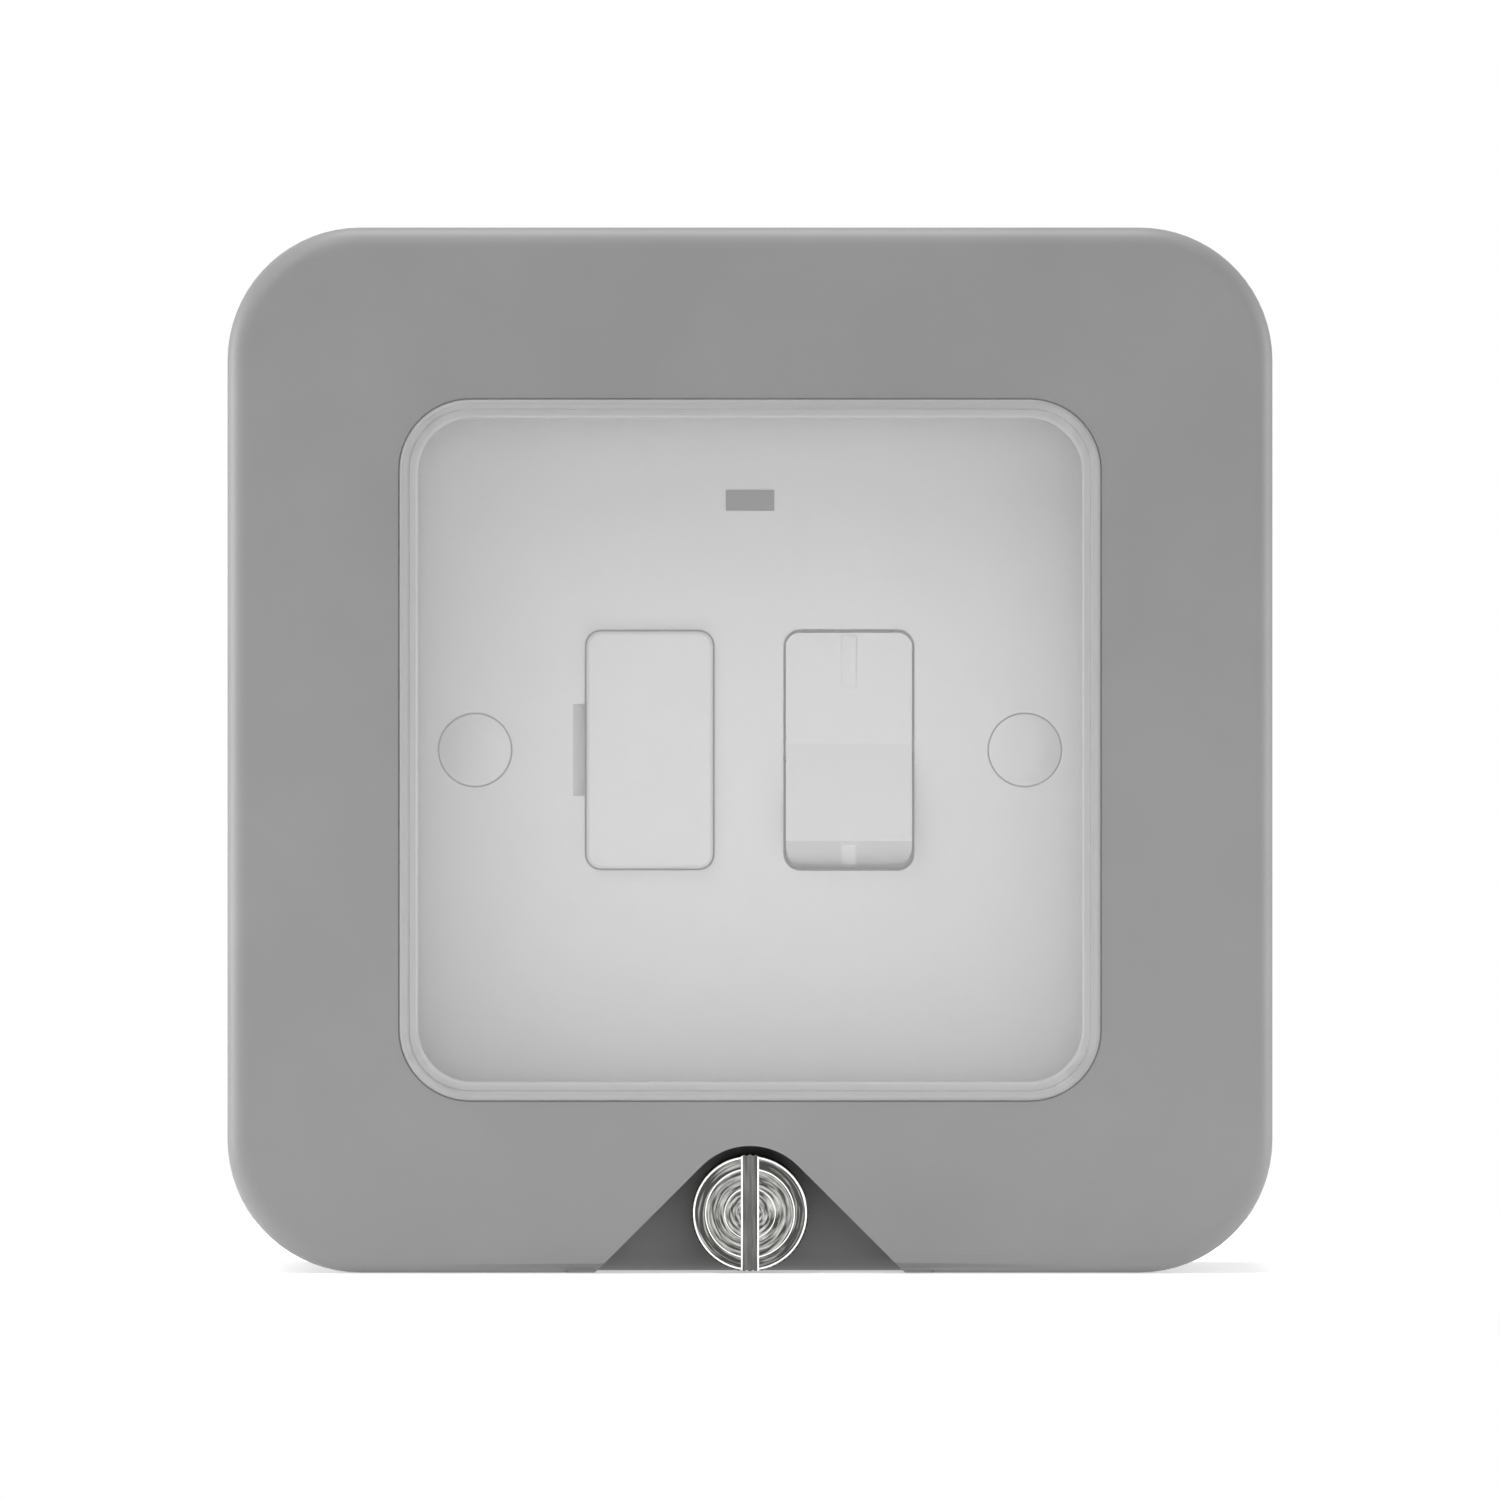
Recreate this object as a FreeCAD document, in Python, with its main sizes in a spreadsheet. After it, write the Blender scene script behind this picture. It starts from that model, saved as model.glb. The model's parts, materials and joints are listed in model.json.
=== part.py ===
import FreeCAD, Part
import math
import os
import re
import Sketcher

# Weatherproof fused spur unit: a wall box with a hinged, windowed lid around a switched fused plate.
# The origin is the centre of the back face on the wall, +Z is up and the front looks along -Y.
# Every "depth" below is measured from the wall towards the front, so depth = -Y.

doc = FreeCAD.newDocument("FusedSpurUnit")

# Driving sizes in millimetres and degrees, each with the word that the features use for it.
drivingSizes = [
    # Enclosure outline
    ("boxWidth", 114.0), ("boxHeight", 114.0), ("boxCorner", 14.5), ("wallThickness", 2.5),
    ("baseDepth", 42.0), ("floorThickness", 2.5), ("seamGap", 0.3), ("lidDepth", 22.7),
    ("lidSkin", 2.6), ("lidEdgeRadius", 2.4), ("baseEdgeRadius", 1.0),
    # Flange that the plate sits on, and the seal between base and lid
    ("plateMargin", 14.0), ("flangeDrop", 3.5), ("flangeThickness", 2.5), ("flangeLand", 3.7),
    ("flangeClear", 0.3), ("flangeCorner", 3.0), ("channelGap", 0.6), ("channelWall", 1.15),
    ("sealWidth", 2.2),
    ("sealHeight", 3.0), ("sealGroove", 2.2), ("sealFit", 0.1), ("lipWidth", 1.4),
    ("channelHead", 4.0), ("channelWeb", 1.6),
    # Window
    ("windowMargin", 18.8), ("windowCorner", 7.7), ("windowRim", 2.3), ("windowRebate", 1.6),
    ("windowFit", 0.15), ("windowPane", 2.0), ("windowSpigot", 1.9), ("beadWidth", 1.1),
    ("beadHeight", 0.5), ("beadRadius", 0.45), ("paneDrop", 0.5),
    # Hinge
    ("hingeSpacing", 56.0), ("hingeBack", 8.0), ("hingeDown", 3.0), ("hingeKnuckle", 2.7),
    ("hingePinRadius", 1.25), ("hingePinFit", 0.06), ("hingeArmWidth", 9.0), ("hingeSideGap", 0.4),
    ("hingeEar", 4.0), ("hingePocketGap", 0.4), ("hingePocketBack", 4.8), ("hingeShell", 2.0),
    ("hingeRelief", 0.2), ("hingePinInset", 0.4), ("hingeArmRoot", 4.0),
    # Thumbscrew and its notch
    ("screwInset", 6.45), ("screwHeadRadius", 6.4), ("screwHeadLength", 9.4), ("notchRadius", 7.4),
    ("notchDepth", 12.6), ("notchFloor", 2.4), ("notchWall", 2.2), ("notchLipRadius", 1.5),
    ("screwSlotWidth", 1.6), ("screwSlotDepth", 2.2), ("screwRim", 0.7), ("screwNeckRadius", 1.65),
    ("screwCollarRadius", 2.45), ("screwCollarLength", 1.6),
    ("screwShankRadius", 2.05), ("screwEngagement", 6.0), ("screwHoleRadius", 2.6),
    ("insertRadius", 3.0), ("insertBore", 2.5), ("insertLength", 8.0), ("insertInset", 0.3),
    ("bossRadius", 4.2), ("bossLength", 12.0), ("washerRadius", 4.6), ("washerThickness", 1.0),
    ("retainerRadius", 3.9), ("retainerThickness", 0.8), ("smallGap", 0.3),
    # Conduit entries
    ("entryRadius", 10.1), ("entryBoss", 12.6), ("entryLength", 8.0), ("entryDepth", 18.5),
    ("plugFit", 0.15), ("plugLength", 6.5), ("plugInset", 0.3), ("plugSlotWidth", 2.2),
    ("plugSlotDepth", 2.0), ("plugSlotLength", 13.0),
    # Wall fixing holes and plate pillars
    ("fixingInset", 19.0), ("fixingHole", 2.4), ("fixingCollar", 5.0), ("fixingCollarHeight", 2.0),
    ("fixingShare", 0.701163), ("pillarRadius", 4.6), ("pillarGap", 0.3), ("pillarInsertRadius", 2.6),
    ("pillarInsertLength", 9.0), ("plateScrewRadius", 1.75), ("plateScrewFit", 0.05),
    ("plateScrewLength", 13.0), ("plateScrewHead", 3.3), ("plateScrewHeadHeight", 2.2),
    ("plateScrewCrown", 2.3),
    # Front plate
    ("plateDepth", 8.5), ("plateSkin", 2.6), ("plateWall", 2.6), ("plateCorner", 4.0),
    ("plateEdgeRadius", 2.6), ("capRadius", 4.05), ("capFit", 0.06), ("capThickness", 1.8),
    ("capSink", 0.08), ("plateBoss", 6.0), ("plateHoleRadius", 2.0), ("plateScrewSeat", 4.6),
    ("guideWall", 1.5),
    # Rocker
    ("rockerShare", 0.126163), ("rockerWidth", 13.8), ("rockerSwing", 12.95), ("rockerGap", 0.3),
    ("rockerPivot", 5.0), ("rockerProud", 0.4), ("rockerThrow", 15.0), ("rockerSkirt", 1.5),
    ("rockerCorner", 1.6), ("rockerSkin", 1.8), ("stubRadius", 1.3), ("stubFit", 0.08),
    ("stubLength", 1.1), ("poleSpacing", 6.6), ("guideTubeRadius", 2.45), ("guideTubeReach", 6.0),
    ("plungerRadius", 1.4), ("plungerFit", 0.1), ("plungerReach", 10.8), ("plungerLength", 5.2),
    # Fuse carrier and fuse
    ("carrierShare", 0.127907), ("carrierWidth", 13.85), ("carrierHeight", 26.0), ("carrierGap", 0.2),
    ("carrierCorner", 1.6), ("carrierProud", 1.2), ("carrierHead", 2.4), ("carrierWall", 1.3),
    ("carrierEdgeRadius", 0.5), ("carrierLegs", 15.4), ("fuseDepth", 6.5), ("fuseRadius", 3.175),
    ("fuseLength", 25.4), ("fuseCapLength", 6.0), ("fuseCapWall", 0.25), ("fuseSeatFit", 0.1),
    ("cradleHeight", 10.0), ("cradleMouth", 5.2), ("cradleReach", 2.0),
    ("prySlotHeight", 10.1), ("prySlotWidth", 1.3), ("prySlotDepth", 2.0),
    ("clipGap", 0.3), ("clipThickness", 0.6), ("clipHeight", 4.8), ("clipReach", 1.0),
    # Neon indicator
    ("neonUp", 27.4), ("lensWidth", 5.2), ("lensHeight", 2.2), ("lensFit", 0.06),
    ("lensFlange", 1.0), ("lensFlangeThickness", 1.0), ("lensProud", 0.1), ("lampRadius", 2.0),
    ("lampLength", 9.0), ("resistorRadius", 1.1), ("resistorWaist", 0.88), ("resistorLength", 6.5),
    ("resistorOffset", 10.5),
    # Rear housing
    ("housingSideGap", 1.05), ("housingHeight", 62.0), ("housingDepth", 20.0), ("housingCorner", 2.5),
    ("switchCavity", 14.5), ("fuseCavity", 6.3), ("clipSeat", 2.8), ("housingScrewUp", 18.0),
    ("housingScrewRadius", 1.45), ("housingScrewHead", 2.8), ("housingScrewHeadHeight", 1.8),
    ("housingScrewSink", 2.4), ("housingScrewCrown", 2.2), ("housingScrewLength", 22.5), ("housingBoss", 3.0),
    # Switch contacts
    ("contactWidth", 3.6), ("contactThickness", 0.9), ("contactLength", 19.0), ("contactTilt", 7.0),
    ("fulcrumRadius", 1.2), ("buttonRadius", 1.3), ("buttonHeight", 0.8), ("buttonUp", 8.0),
    ("fulcrumFoot", 4.0), ("footThickness", 0.8),
    # Terminals
    ("terminalShare", 0.186047), ("terminalUp", 26.4), ("terminalWidth", 8.0), ("terminalHeight", 8.2),
    ("terminalDepth", 10.5), ("terminalInset", 0.6), ("terminalFit", 0.2), ("wireHole", 1.8),
    ("wireHoleDepth", 7.0), ("terminalScrewRadius", 1.6), ("terminalScrewLength", 5.0),
    ("terminalScrewFit", 0.05), ("terminalScrewSlot", 0.7),
]

sheet = doc.addObject("Spreadsheet::Sheet", "Sizes")
for row, (alias, number) in enumerate(drivingSizes, start=1):
    sheet.set(f"A{row}", alias)
    sheet.set(f"B{row}", str(number))
    sheet.setAlias(f"B{row}", alias)
doc.recompute()
aliases = {alias for alias, number in drivingSizes}

# Sizes that follow from the driving ones, so that the pieces keep together when one of those changes
derivedSizes = {
    "plateWidth": "(boxWidth - 2 * plateMargin)",
    "plateHeight": "(boxHeight - 2 * plateMargin)",
    "flangeWidth": "(plateWidth - 2 * flangeLand)",
    "flangeHeight": "max(plateHeight - 2 * flangeLand; housingHeight + 2 * flangeClear)",
    "windowWidth": "(boxWidth - 2 * windowMargin)",
    "windowHeight": "(boxHeight - 2 * windowMargin)",
    "screwDrop": "(boxHeight / 2 - screwInset)",
    "fixingWidth": "(boxWidth - 2 * fixingInset)",
    "fixingHeight": "(boxHeight - 2 * fixingInset)",
    "plateFixing": "(plateWidth * fixingShare)",
    "rockerCentre": "(plateWidth * rockerShare)",
    "carrierCentre": "(-plateWidth * carrierShare)",
    "housingWidth": "(plateFixing - 2 * pillarRadius - 2 * housingSideGap)",
    "terminalSpacing": "(plateWidth * terminalShare)",
}

# How far apart two levels or volumes may be and still count as the same
sameLevel = 1e-3
sameVolume = 1e-6


def bound(text):
    """The text as an expression that reads the sheet, with each derived size written out."""
    while derivedSizes.keys() & set(re.findall(r"[A-Za-z]\w*", text)):
        text = re.sub(r"[A-Za-z]\w*", lambda word: derivedSizes.get(word[0], word[0]), text)
    return re.sub(r"[A-Za-z]\w*", lambda word: "Sizes." + word[0] if word[0] in aliases else word[0], text)


def value(text):
    """The number that such a text gives now."""
    result = sheet.evalExpression(bound(text))
    return float(getattr(result, "Value", result))


def plane(body, role):
    """The body's own origin plane with that role."""
    return next(item for item in body.Origin.OriginFeatures if item.Role == role)


def place(item, across="0", depth="0", up="0"):
    """Stands an object's own origin at a place across, from the wall and up."""
    item.setExpression("Placement.Base.x", bound(across))
    item.setExpression("Placement.Base.y", bound(f"-({depth})"))
    item.setExpression("Placement.Base.z", bound(up))


def newBody(name, across="0", depth="0", up="0"):
    """A piece with a name of its own, modelled around its own origin."""
    body = doc.addObject("PartDesign::Body", name)
    body.Label = name
    place(body, across, depth, up)
    return body


def tiltedBody(name, across, depth, angle):
    """A piece that rests turned about its own left-to-right axis."""
    body = newBody(name, across, depth)
    body.Placement.Rotation = FreeCAD.Rotation(FreeCAD.Vector(1, 0, 0), 0)
    body.setExpression("Placement.Rotation.Angle", bound(angle))
    return body


def newSketch(body, role, across="0", depth="0", up="0"):
    """A sketch parallel to one of the body's origin planes."""
    sketch = body.newObject("Sketcher::SketchObject", body.Name + "_sketch")
    sketch.AttachmentSupport = (plane(body, role), [""])
    sketch.MapMode = "FlatFace"
    offsets = {
        "XZ_Plane": (across, up, depth),
        "YZ_Plane": (f"-({depth})", up, across),
        "XY_Plane": (across, f"-({depth})", up),
    }
    for axis, text in zip("xyz", offsets[role]):
        sketch.setExpression(f"AttachmentOffset.Base.{axis}", bound(text))
    return sketch


def sized(sketch, constraint, text):
    """Adds a constraint whose number follows the sheet."""
    number = sketch.addConstraint(constraint)
    sketch.setExpression(f"Constraints[{number}]", bound(text))


def located(sketch, element, point, right=None, top=None):
    """Ties a point of the sketch to distances from the sketch's own origin."""
    if right is not None:
        sized(sketch, Sketcher.Constraint("DistanceX", -1, 1, element, point, value(right)), right)
    if top is not None:
        sized(sketch, Sketcher.Constraint("DistanceY", -1, 1, element, point, value(top)), top)


def line(start, end):
    return Part.LineSegment(FreeCAD.Vector(*start, 0), FreeCAD.Vector(*end, 0))


def arc(centre, radius, startAngle, endAngle):
    circle = Part.Circle(FreeCAD.Vector(*centre, 0), FreeCAD.Vector(0, 0, 1), radius)
    return Part.ArcOfCircle(circle, math.radians(startAngle), math.radians(endAngle))


def drawRounded(sketch, width, height, radius):
    """A rectangle with round corners, centred on the sketch's origin."""
    right, top, bend = value(width) / 2, value(height) / 2, value(radius)
    first = sketch.GeometryCount
    centres = [(right - bend, top - bend), (bend - right, top - bend),
               (bend - right, bend - top), (right - bend, bend - top)]
    for corner, centre in enumerate(centres):
        sketch.addGeometry(arc(centre, bend, 90 * corner, 90 * corner + 90), False)
    for corner in range(4):
        start = sketch.getPoint(first + corner, 2)
        end = sketch.getPoint(first + (corner + 1) % 4, 1)
        sketch.addGeometry(line((start.x, start.y), (end.x, end.y)), False)
    for corner in range(4):
        side = first + 4 + corner
        sketch.addConstraint(Sketcher.Constraint("Tangent", first + corner, 2, side, 1))
        sketch.addConstraint(Sketcher.Constraint("Tangent", side, 2, first + (corner + 1) % 4, 1))
        sketch.addConstraint(Sketcher.Constraint("Vertical" if corner % 2 else "Horizontal", side))
    for corner in range(1, 4):
        sketch.addConstraint(Sketcher.Constraint("Equal", first, first + corner))
    sized(sketch, Sketcher.Constraint("Radius", first, bend), radius)
    located(sketch, first, 1, right=f"({width}) / 2")
    located(sketch, first, 2, top=f"({height}) / 2")
    located(sketch, first + 2, 1, right=f"-({width}) / 2")
    located(sketch, first + 2, 2, top=f"-({height}) / 2")


def drawPolygon(sketch, corners):
    """A closed outline of straight lines through corners that follow the sheet."""
    first = sketch.GeometryCount
    count = len(corners)
    points = [(value(right), value(top)) for right, top in corners]
    for number in range(count):
        sketch.addGeometry(line(points[number], points[(number + 1) % count]), False)
    for number, (right, top) in enumerate(corners):
        following = first + (number + 1) % count
        sketch.addConstraint(Sketcher.Constraint("Coincident", first + number, 2, following, 1))
        located(sketch, first + number, 1, right, top)


def drawRectangle(sketch, width, height):
    right, top = f"({width}) / 2", f"({height}) / 2"
    drawPolygon(sketch, [(f"-{right}", f"-{top}"), (right, f"-{top}"), (right, top), (f"-{right}", top)])


def drawCircle(sketch, radius, right="0", top="0"):
    circle = Part.Circle(FreeCAD.Vector(value(right), value(top), 0), FreeCAD.Vector(0, 0, 1), value(radius))
    number = sketch.addGeometry(circle, False)
    sized(sketch, Sketcher.Constraint("Radius", number, value(radius)), radius)
    located(sketch, number, 3, right, top)


def sweep(kind, sketch, length, reverse=False, middle=False):
    """A pad or pocket of a sketch: forwards for a pad and backwards for a pocket, unless reversed."""
    body = sketch.getParentGeoFeatureGroup()
    feature = body.newObject("PartDesign::" + kind, f"{body.Name}_{kind.lower()}")
    feature.Profile = sketch
    feature.setExpression("Length", bound(length))
    feature.Reversed = reverse
    if middle:
        feature.SideType = "Symmetric"
    sketch.Visibility = False
    doc.recompute()
    return feature


def pad(sketch, length, **options):
    return sweep("Pad", sketch, length, **options)


def pocket(sketch, length, **options):
    """A pocket that has to take material away."""
    before = sketch.getParentGeoFeatureGroup().Shape.Volume
    feature = sweep("Pocket", sketch, length, **options)
    if feature.Shape.Volume > before - sameVolume:
        raise ValueError(f"{feature.Name} cuts nothing")
    return feature


def turned(body, role, axis, profile):
    """A revolution of a closed outline about one of its sketch's axes."""
    sketch = newSketch(body, role)
    drawPolygon(sketch, profile)
    feature = body.newObject("PartDesign::Revolution", body.Name + "_revolution")
    feature.Profile = sketch
    feature.ReferenceAxis = (sketch, [axis])
    feature.Angle = 360
    doc.recompute()
    return feature


def turnedFront(name, across, depth, up, profile):
    """A piece turned about a front-to-back axis: its outline is given as (forwards, radius)."""
    body = newBody(name, across, depth, up)
    turned(body, "YZ_Plane", "H_Axis", [(f"-({forwards})", radius) for forwards, radius in profile])
    return body


def rounded(feature, radius, accept, kind="Fillet"):
    """Rounds or bevels the edges of the body's last feature that the test accepts."""
    body = feature.getParentGeoFeatureGroup()
    names = [f"Edge{number}" for number, edge in enumerate(feature.Shape.Edges, start=1) if accept(edge)]
    if not names:
        raise ValueError(f"{body.Name} has no edge to round there")
    edging = body.newObject("PartDesign::" + kind, f"{body.Name}_{kind.lower()}")
    edging.Base = (feature, names)
    edging.setExpression("Radius" if kind == "Fillet" else "Size", bound(radius))
    doc.recompute()
    return edging


def atDepth(depth):
    """A test for edges that lie flat at one depth."""
    level = -value(depth)

    def accept(edge):
        box = edge.BoundBox
        return abs(box.YMin - level) < sameLevel and abs(box.YMax - level) < sameLevel
    return accept


def sideProfile(sketch, corners):
    """A closed outline on the side plane, given as (depth, up)."""
    drawPolygon(sketch, [(f"-({depth})", up) for depth, up in corners])


# Levels that several pieces share
lidBack = "(baseDepth + seamGap)"
lidFront = "(baseDepth + seamGap + lidDepth)"
skinBack = "(baseDepth + seamGap + lidDepth - lidSkin)"
flangeFront = "(baseDepth - flangeDrop)"
plateFront = "(baseDepth - flangeDrop + plateDepth)"
skinRear = "(baseDepth - flangeDrop + plateDepth - plateSkin)"
cavityWidth = "(boxWidth - 2 * wallThickness)"
cavityHeight = "(boxHeight - 2 * wallThickness)"
cavityCorner = "(boxCorner - wallThickness)"

# Rings around the plate: each is a distance out from the plate's edge
channelInner = "channelGap"
grooveInner = "(channelGap + channelWall)"
sealInner = "(channelGap + channelWall + sealFit)"
sealOuter = "(channelGap + channelWall + sealFit + sealWidth)"
grooveOuter = "(channelGap + channelWall + 2 * sealFit + sealWidth)"
channelOuter = "(channelGap + 2 * channelWall + 2 * sealFit + sealWidth)"
sealMiddle = "(channelGap + channelWall + sealFit + sealWidth / 2)"
channelEnd = "(baseDepth + sealHeight - sealGroove)"


def drawAroundPlate(sketch, outset):
    """A round-cornered square a given distance outside the plate's edge."""
    drawRounded(sketch, f"(plateWidth + 2 * {outset})", f"(plateHeight + 2 * {outset})",
                f"(plateCorner + {outset})")


def ringAroundPlate(body, depth, inner, outer):
    sketch = newSketch(body, "XZ_Plane", depth=depth)
    drawAroundPlate(sketch, outer)
    drawAroundPlate(sketch, inner)
    return sketch


# Thumbscrew and hinge positions
screwUp = "(-screwDrop)"
notchFloorFront = f"({lidFront} - notchDepth)"
notchFloorBack = f"({lidFront} - notchDepth - notchFloor)"
headBack = f"({notchFloorFront} + washerThickness + smallGap / 3)"
screwTravel = "(screwEngagement + smallGap)"
hingeDepth = f"({lidBack} - hingeBack)"
hingeUp = "(boxHeight / 2 - hingeDown)"
earWidth = "(hingeArmWidth + 2 * hingeSideGap + 2 * hingeEar)"
hingePocketFloor = f"({hingeUp} - hingeKnuckle - hingePocketGap)"
hingePocketRear = f"({hingeDepth} - hingePocketBack)"
entries = {"top": (0, 1), "bottom": (0, -1), "left": (-1, 0), "right": (1, 0)}


def entrySketch(body, side, inset):
    """A sketch parallel to one side wall, a given distance in from its outer face."""
    across, up = entries[side]
    if up:
        return newSketch(body, "XY_Plane", depth="entryDepth", up=f"{up} * (boxHeight / 2 - ({inset}))")
    return newSketch(body, "YZ_Plane", depth="entryDepth", across=f"{across} * (boxWidth / 2 - ({inset}))")


def baseBox():
    """Wall box: floor, four walls, plate flange, sealing lip, hinge ears, bosses and conduit entries."""
    body = newBody("base_box")
    outline = newSketch(body, "XZ_Plane")
    drawRounded(outline, "boxWidth", "boxHeight", "boxCorner")
    block = pad(outline, "baseDepth")
    block = rounded(block, "baseEdgeRadius", atDepth("0"))
    inside = newSketch(body, "XZ_Plane", depth="baseDepth")
    drawRounded(inside, cavityWidth, cavityHeight, cavityCorner)
    pocket(inside, "baseDepth - floorThickness")

    flange = newSketch(body, "XZ_Plane", depth=f"({flangeFront} - flangeThickness)")
    drawRounded(flange, "(boxWidth - wallThickness)", "(boxHeight - wallThickness)",
                "(boxCorner - wallThickness / 2)")
    drawRounded(flange, "flangeWidth", "flangeHeight", "flangeCorner")
    pad(flange, "flangeThickness")
    lip = ringAroundPlate(body, flangeFront, f"({sealMiddle} - lipWidth / 2)",
                          f"({sealMiddle} + lipWidth / 2)")
    pad(lip, "flangeDrop")

    boss = newSketch(body, "XZ_Plane", depth=flangeFront, up=screwUp)
    drawCircle(boss, "bossRadius")
    pad(boss, "bossLength", reverse=True)

    for side in (-1, 1):
        middle = f"({side} * hingeSpacing / 2)"
        ears = newSketch(body, "YZ_Plane", across=middle)
        wallMiddle = "(boxHeight / 2 - wallThickness / 2)"
        sideProfile(ears, [(f"{hingePocketRear} - hingeShell", f"{hingePocketFloor} - hingeShell"),
                           ("baseDepth", f"{hingePocketFloor} - hingeShell"), ("baseDepth", wallMiddle),
                           (f"{hingePocketRear} - hingeShell", wallMiddle)])
        pad(ears, earWidth, middle=True)
    for side in (-1, 1):
        middle = f"({side} * hingeSpacing / 2)"
        room = newSketch(body, "YZ_Plane", across=middle)
        above = "(boxHeight / 2 + wallThickness)"
        beyond = "(baseDepth + wallThickness)"
        sideProfile(room, [(hingePocketRear, hingePocketFloor), (beyond, hingePocketFloor), (beyond, above),
                           (hingePocketRear, above)])
        pocket(room, "hingeArmWidth + 2 * hingeSideGap", middle=True)
        pinHole = newSketch(body, "YZ_Plane", across=middle, depth=hingeDepth, up=hingeUp)
        drawCircle(pinHole, "hingePinRadius + hingePinFit / 2")
        pocket(pinHole, f"{earWidth} - 2 * hingePinInset", middle=True)

    for side in entries:
        outward = side in ("top", "right")
        ring = entrySketch(body, side, "entryLength" if outward else "wallThickness / 2")
        drawCircle(ring, "entryBoss")
        pad(ring, "entryLength - wallThickness / 2")
    for side in entries:
        outward = side in ("top", "right")
        hole = entrySketch(body, side, "0" if outward else "entryLength")
        drawCircle(hole, "entryRadius")
        pocket(hole, "entryLength")
    insertHole = newSketch(body, "XZ_Plane", depth=flangeFront, up=screwUp)
    drawCircle(insertHole, "insertRadius")
    pocket(insertHole, "insertLength + insertInset")

    for across in (-1, 1):
        for up in (-1, 1):
            spot = {"across": f"{across} * fixingWidth / 2", "up": f"{up} * fixingHeight / 2"}
            collar = newSketch(body, "XZ_Plane", depth="floorThickness", **spot)
            drawCircle(collar, "fixingCollar")
            pad(collar, "fixingCollarHeight")
            hole = newSketch(body, "XZ_Plane", depth="floorThickness + fixingCollarHeight", **spot)
            drawCircle(hole, "fixingHole")
            pocket(hole, "floorThickness + fixingCollarHeight")
    for across in (-1, 1):
        spot = f"{across} * plateFixing / 2"
        pillar = newSketch(body, "XZ_Plane", depth="floorThickness", across=spot)
        drawCircle(pillar, "pillarRadius")
        pad(pillar, f"{flangeFront} - pillarGap - floorThickness")
        insertHole = newSketch(body, "XZ_Plane", depth=f"{flangeFront} - pillarGap", across=spot)
        drawCircle(insertHole, "pillarInsertRadius")
        pocket(insertHole, "pillarInsertLength + smallGap")
    return body


def drawNotch(sketch, radius):
    """Thumbscrew notch: an arc around the screw, with straight sides falling away at 45 degrees."""
    size = value(radius)
    reach = f"({radius} + 4 * wallThickness)"
    fall = value(reach)
    half = size * math.sqrt(0.5)
    sketch.addGeometry(arc((0, 0), size, 45, 135), False)
    sketch.addGeometry(line((-half, half), (-half - half - fall, -fall)), False)
    sketch.addGeometry(line((-2 * half - fall, -fall), (2 * half + fall, -fall)), False)
    sketch.addGeometry(line((2 * half + fall, -fall), (half, half)), False)
    sketch.addConstraint(Sketcher.Constraint("Coincident", 0, 3, -1, 1))
    sized(sketch, Sketcher.Constraint("Radius", 0, size), radius)
    sketch.addConstraint(Sketcher.Constraint("Tangent", 0, 2, 1, 1))
    sketch.addConstraint(Sketcher.Constraint("Tangent", 3, 2, 0, 1))
    sketch.addConstraint(Sketcher.Constraint("Coincident", 1, 2, 2, 1))
    sketch.addConstraint(Sketcher.Constraint("Coincident", 2, 2, 3, 1))
    sketch.addConstraint(Sketcher.Constraint("Horizontal", 2))
    sketch.addConstraint(Sketcher.Constraint("Perpendicular", 1, 3))
    sketch.addConstraint(Sketcher.Constraint("Equal", 1, 3))
    located(sketch, 2, 1, top=f"-{reach}")


def drawHingeArm(sketch):
    """Hinge arm seen from the side: round about the pin and straight to the lid."""
    size, reach = value("hingeKnuckle"), value("hingeBack + hingeArmRoot")
    sketch.addGeometry(arc((0, 0), size, -90, 90), False)
    sketch.addGeometry(line((0, size), (-reach, size)), False)
    sketch.addGeometry(line((-reach, size), (-reach, -size)), False)
    sketch.addGeometry(line((-reach, -size), (0, -size)), False)
    sketch.addConstraint(Sketcher.Constraint("Coincident", 0, 3, -1, 1))
    sized(sketch, Sketcher.Constraint("Radius", 0, size), "hingeKnuckle")
    sketch.addConstraint(Sketcher.Constraint("Tangent", 0, 2, 1, 1))
    sketch.addConstraint(Sketcher.Constraint("Tangent", 3, 2, 0, 1))
    sketch.addConstraint(Sketcher.Constraint("Coincident", 1, 2, 2, 1))
    sketch.addConstraint(Sketcher.Constraint("Coincident", 2, 2, 3, 1))
    sketch.addConstraint(Sketcher.Constraint("Horizontal", 1))
    sketch.addConstraint(Sketcher.Constraint("Vertical", 2))
    located(sketch, 2, 1, right="-(hingeBack + hingeArmRoot)")


windowHole = ("(windowWidth - 2 * windowSpigot)", "(windowHeight - 2 * windowSpigot)")
windowHoleCorner = "(windowCorner - windowSpigot)"


def drawWindow(sketch, outset):
    """The window's outline, moved out by a distance, or in where it is negative."""
    drawRounded(sketch, f"windowWidth + 2 * {outset}", f"windowHeight + 2 * {outset}",
                f"windowCorner + {outset}")


def drawWindowHole(sketch, outset):
    """The outline of the hole behind the window's flange, moved out by a distance."""
    width, height = windowHole
    drawRounded(sketch, f"{width} + 2 * {outset}", f"{height} + 2 * {outset}",
                f"{windowHoleCorner} + {outset}")


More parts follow.
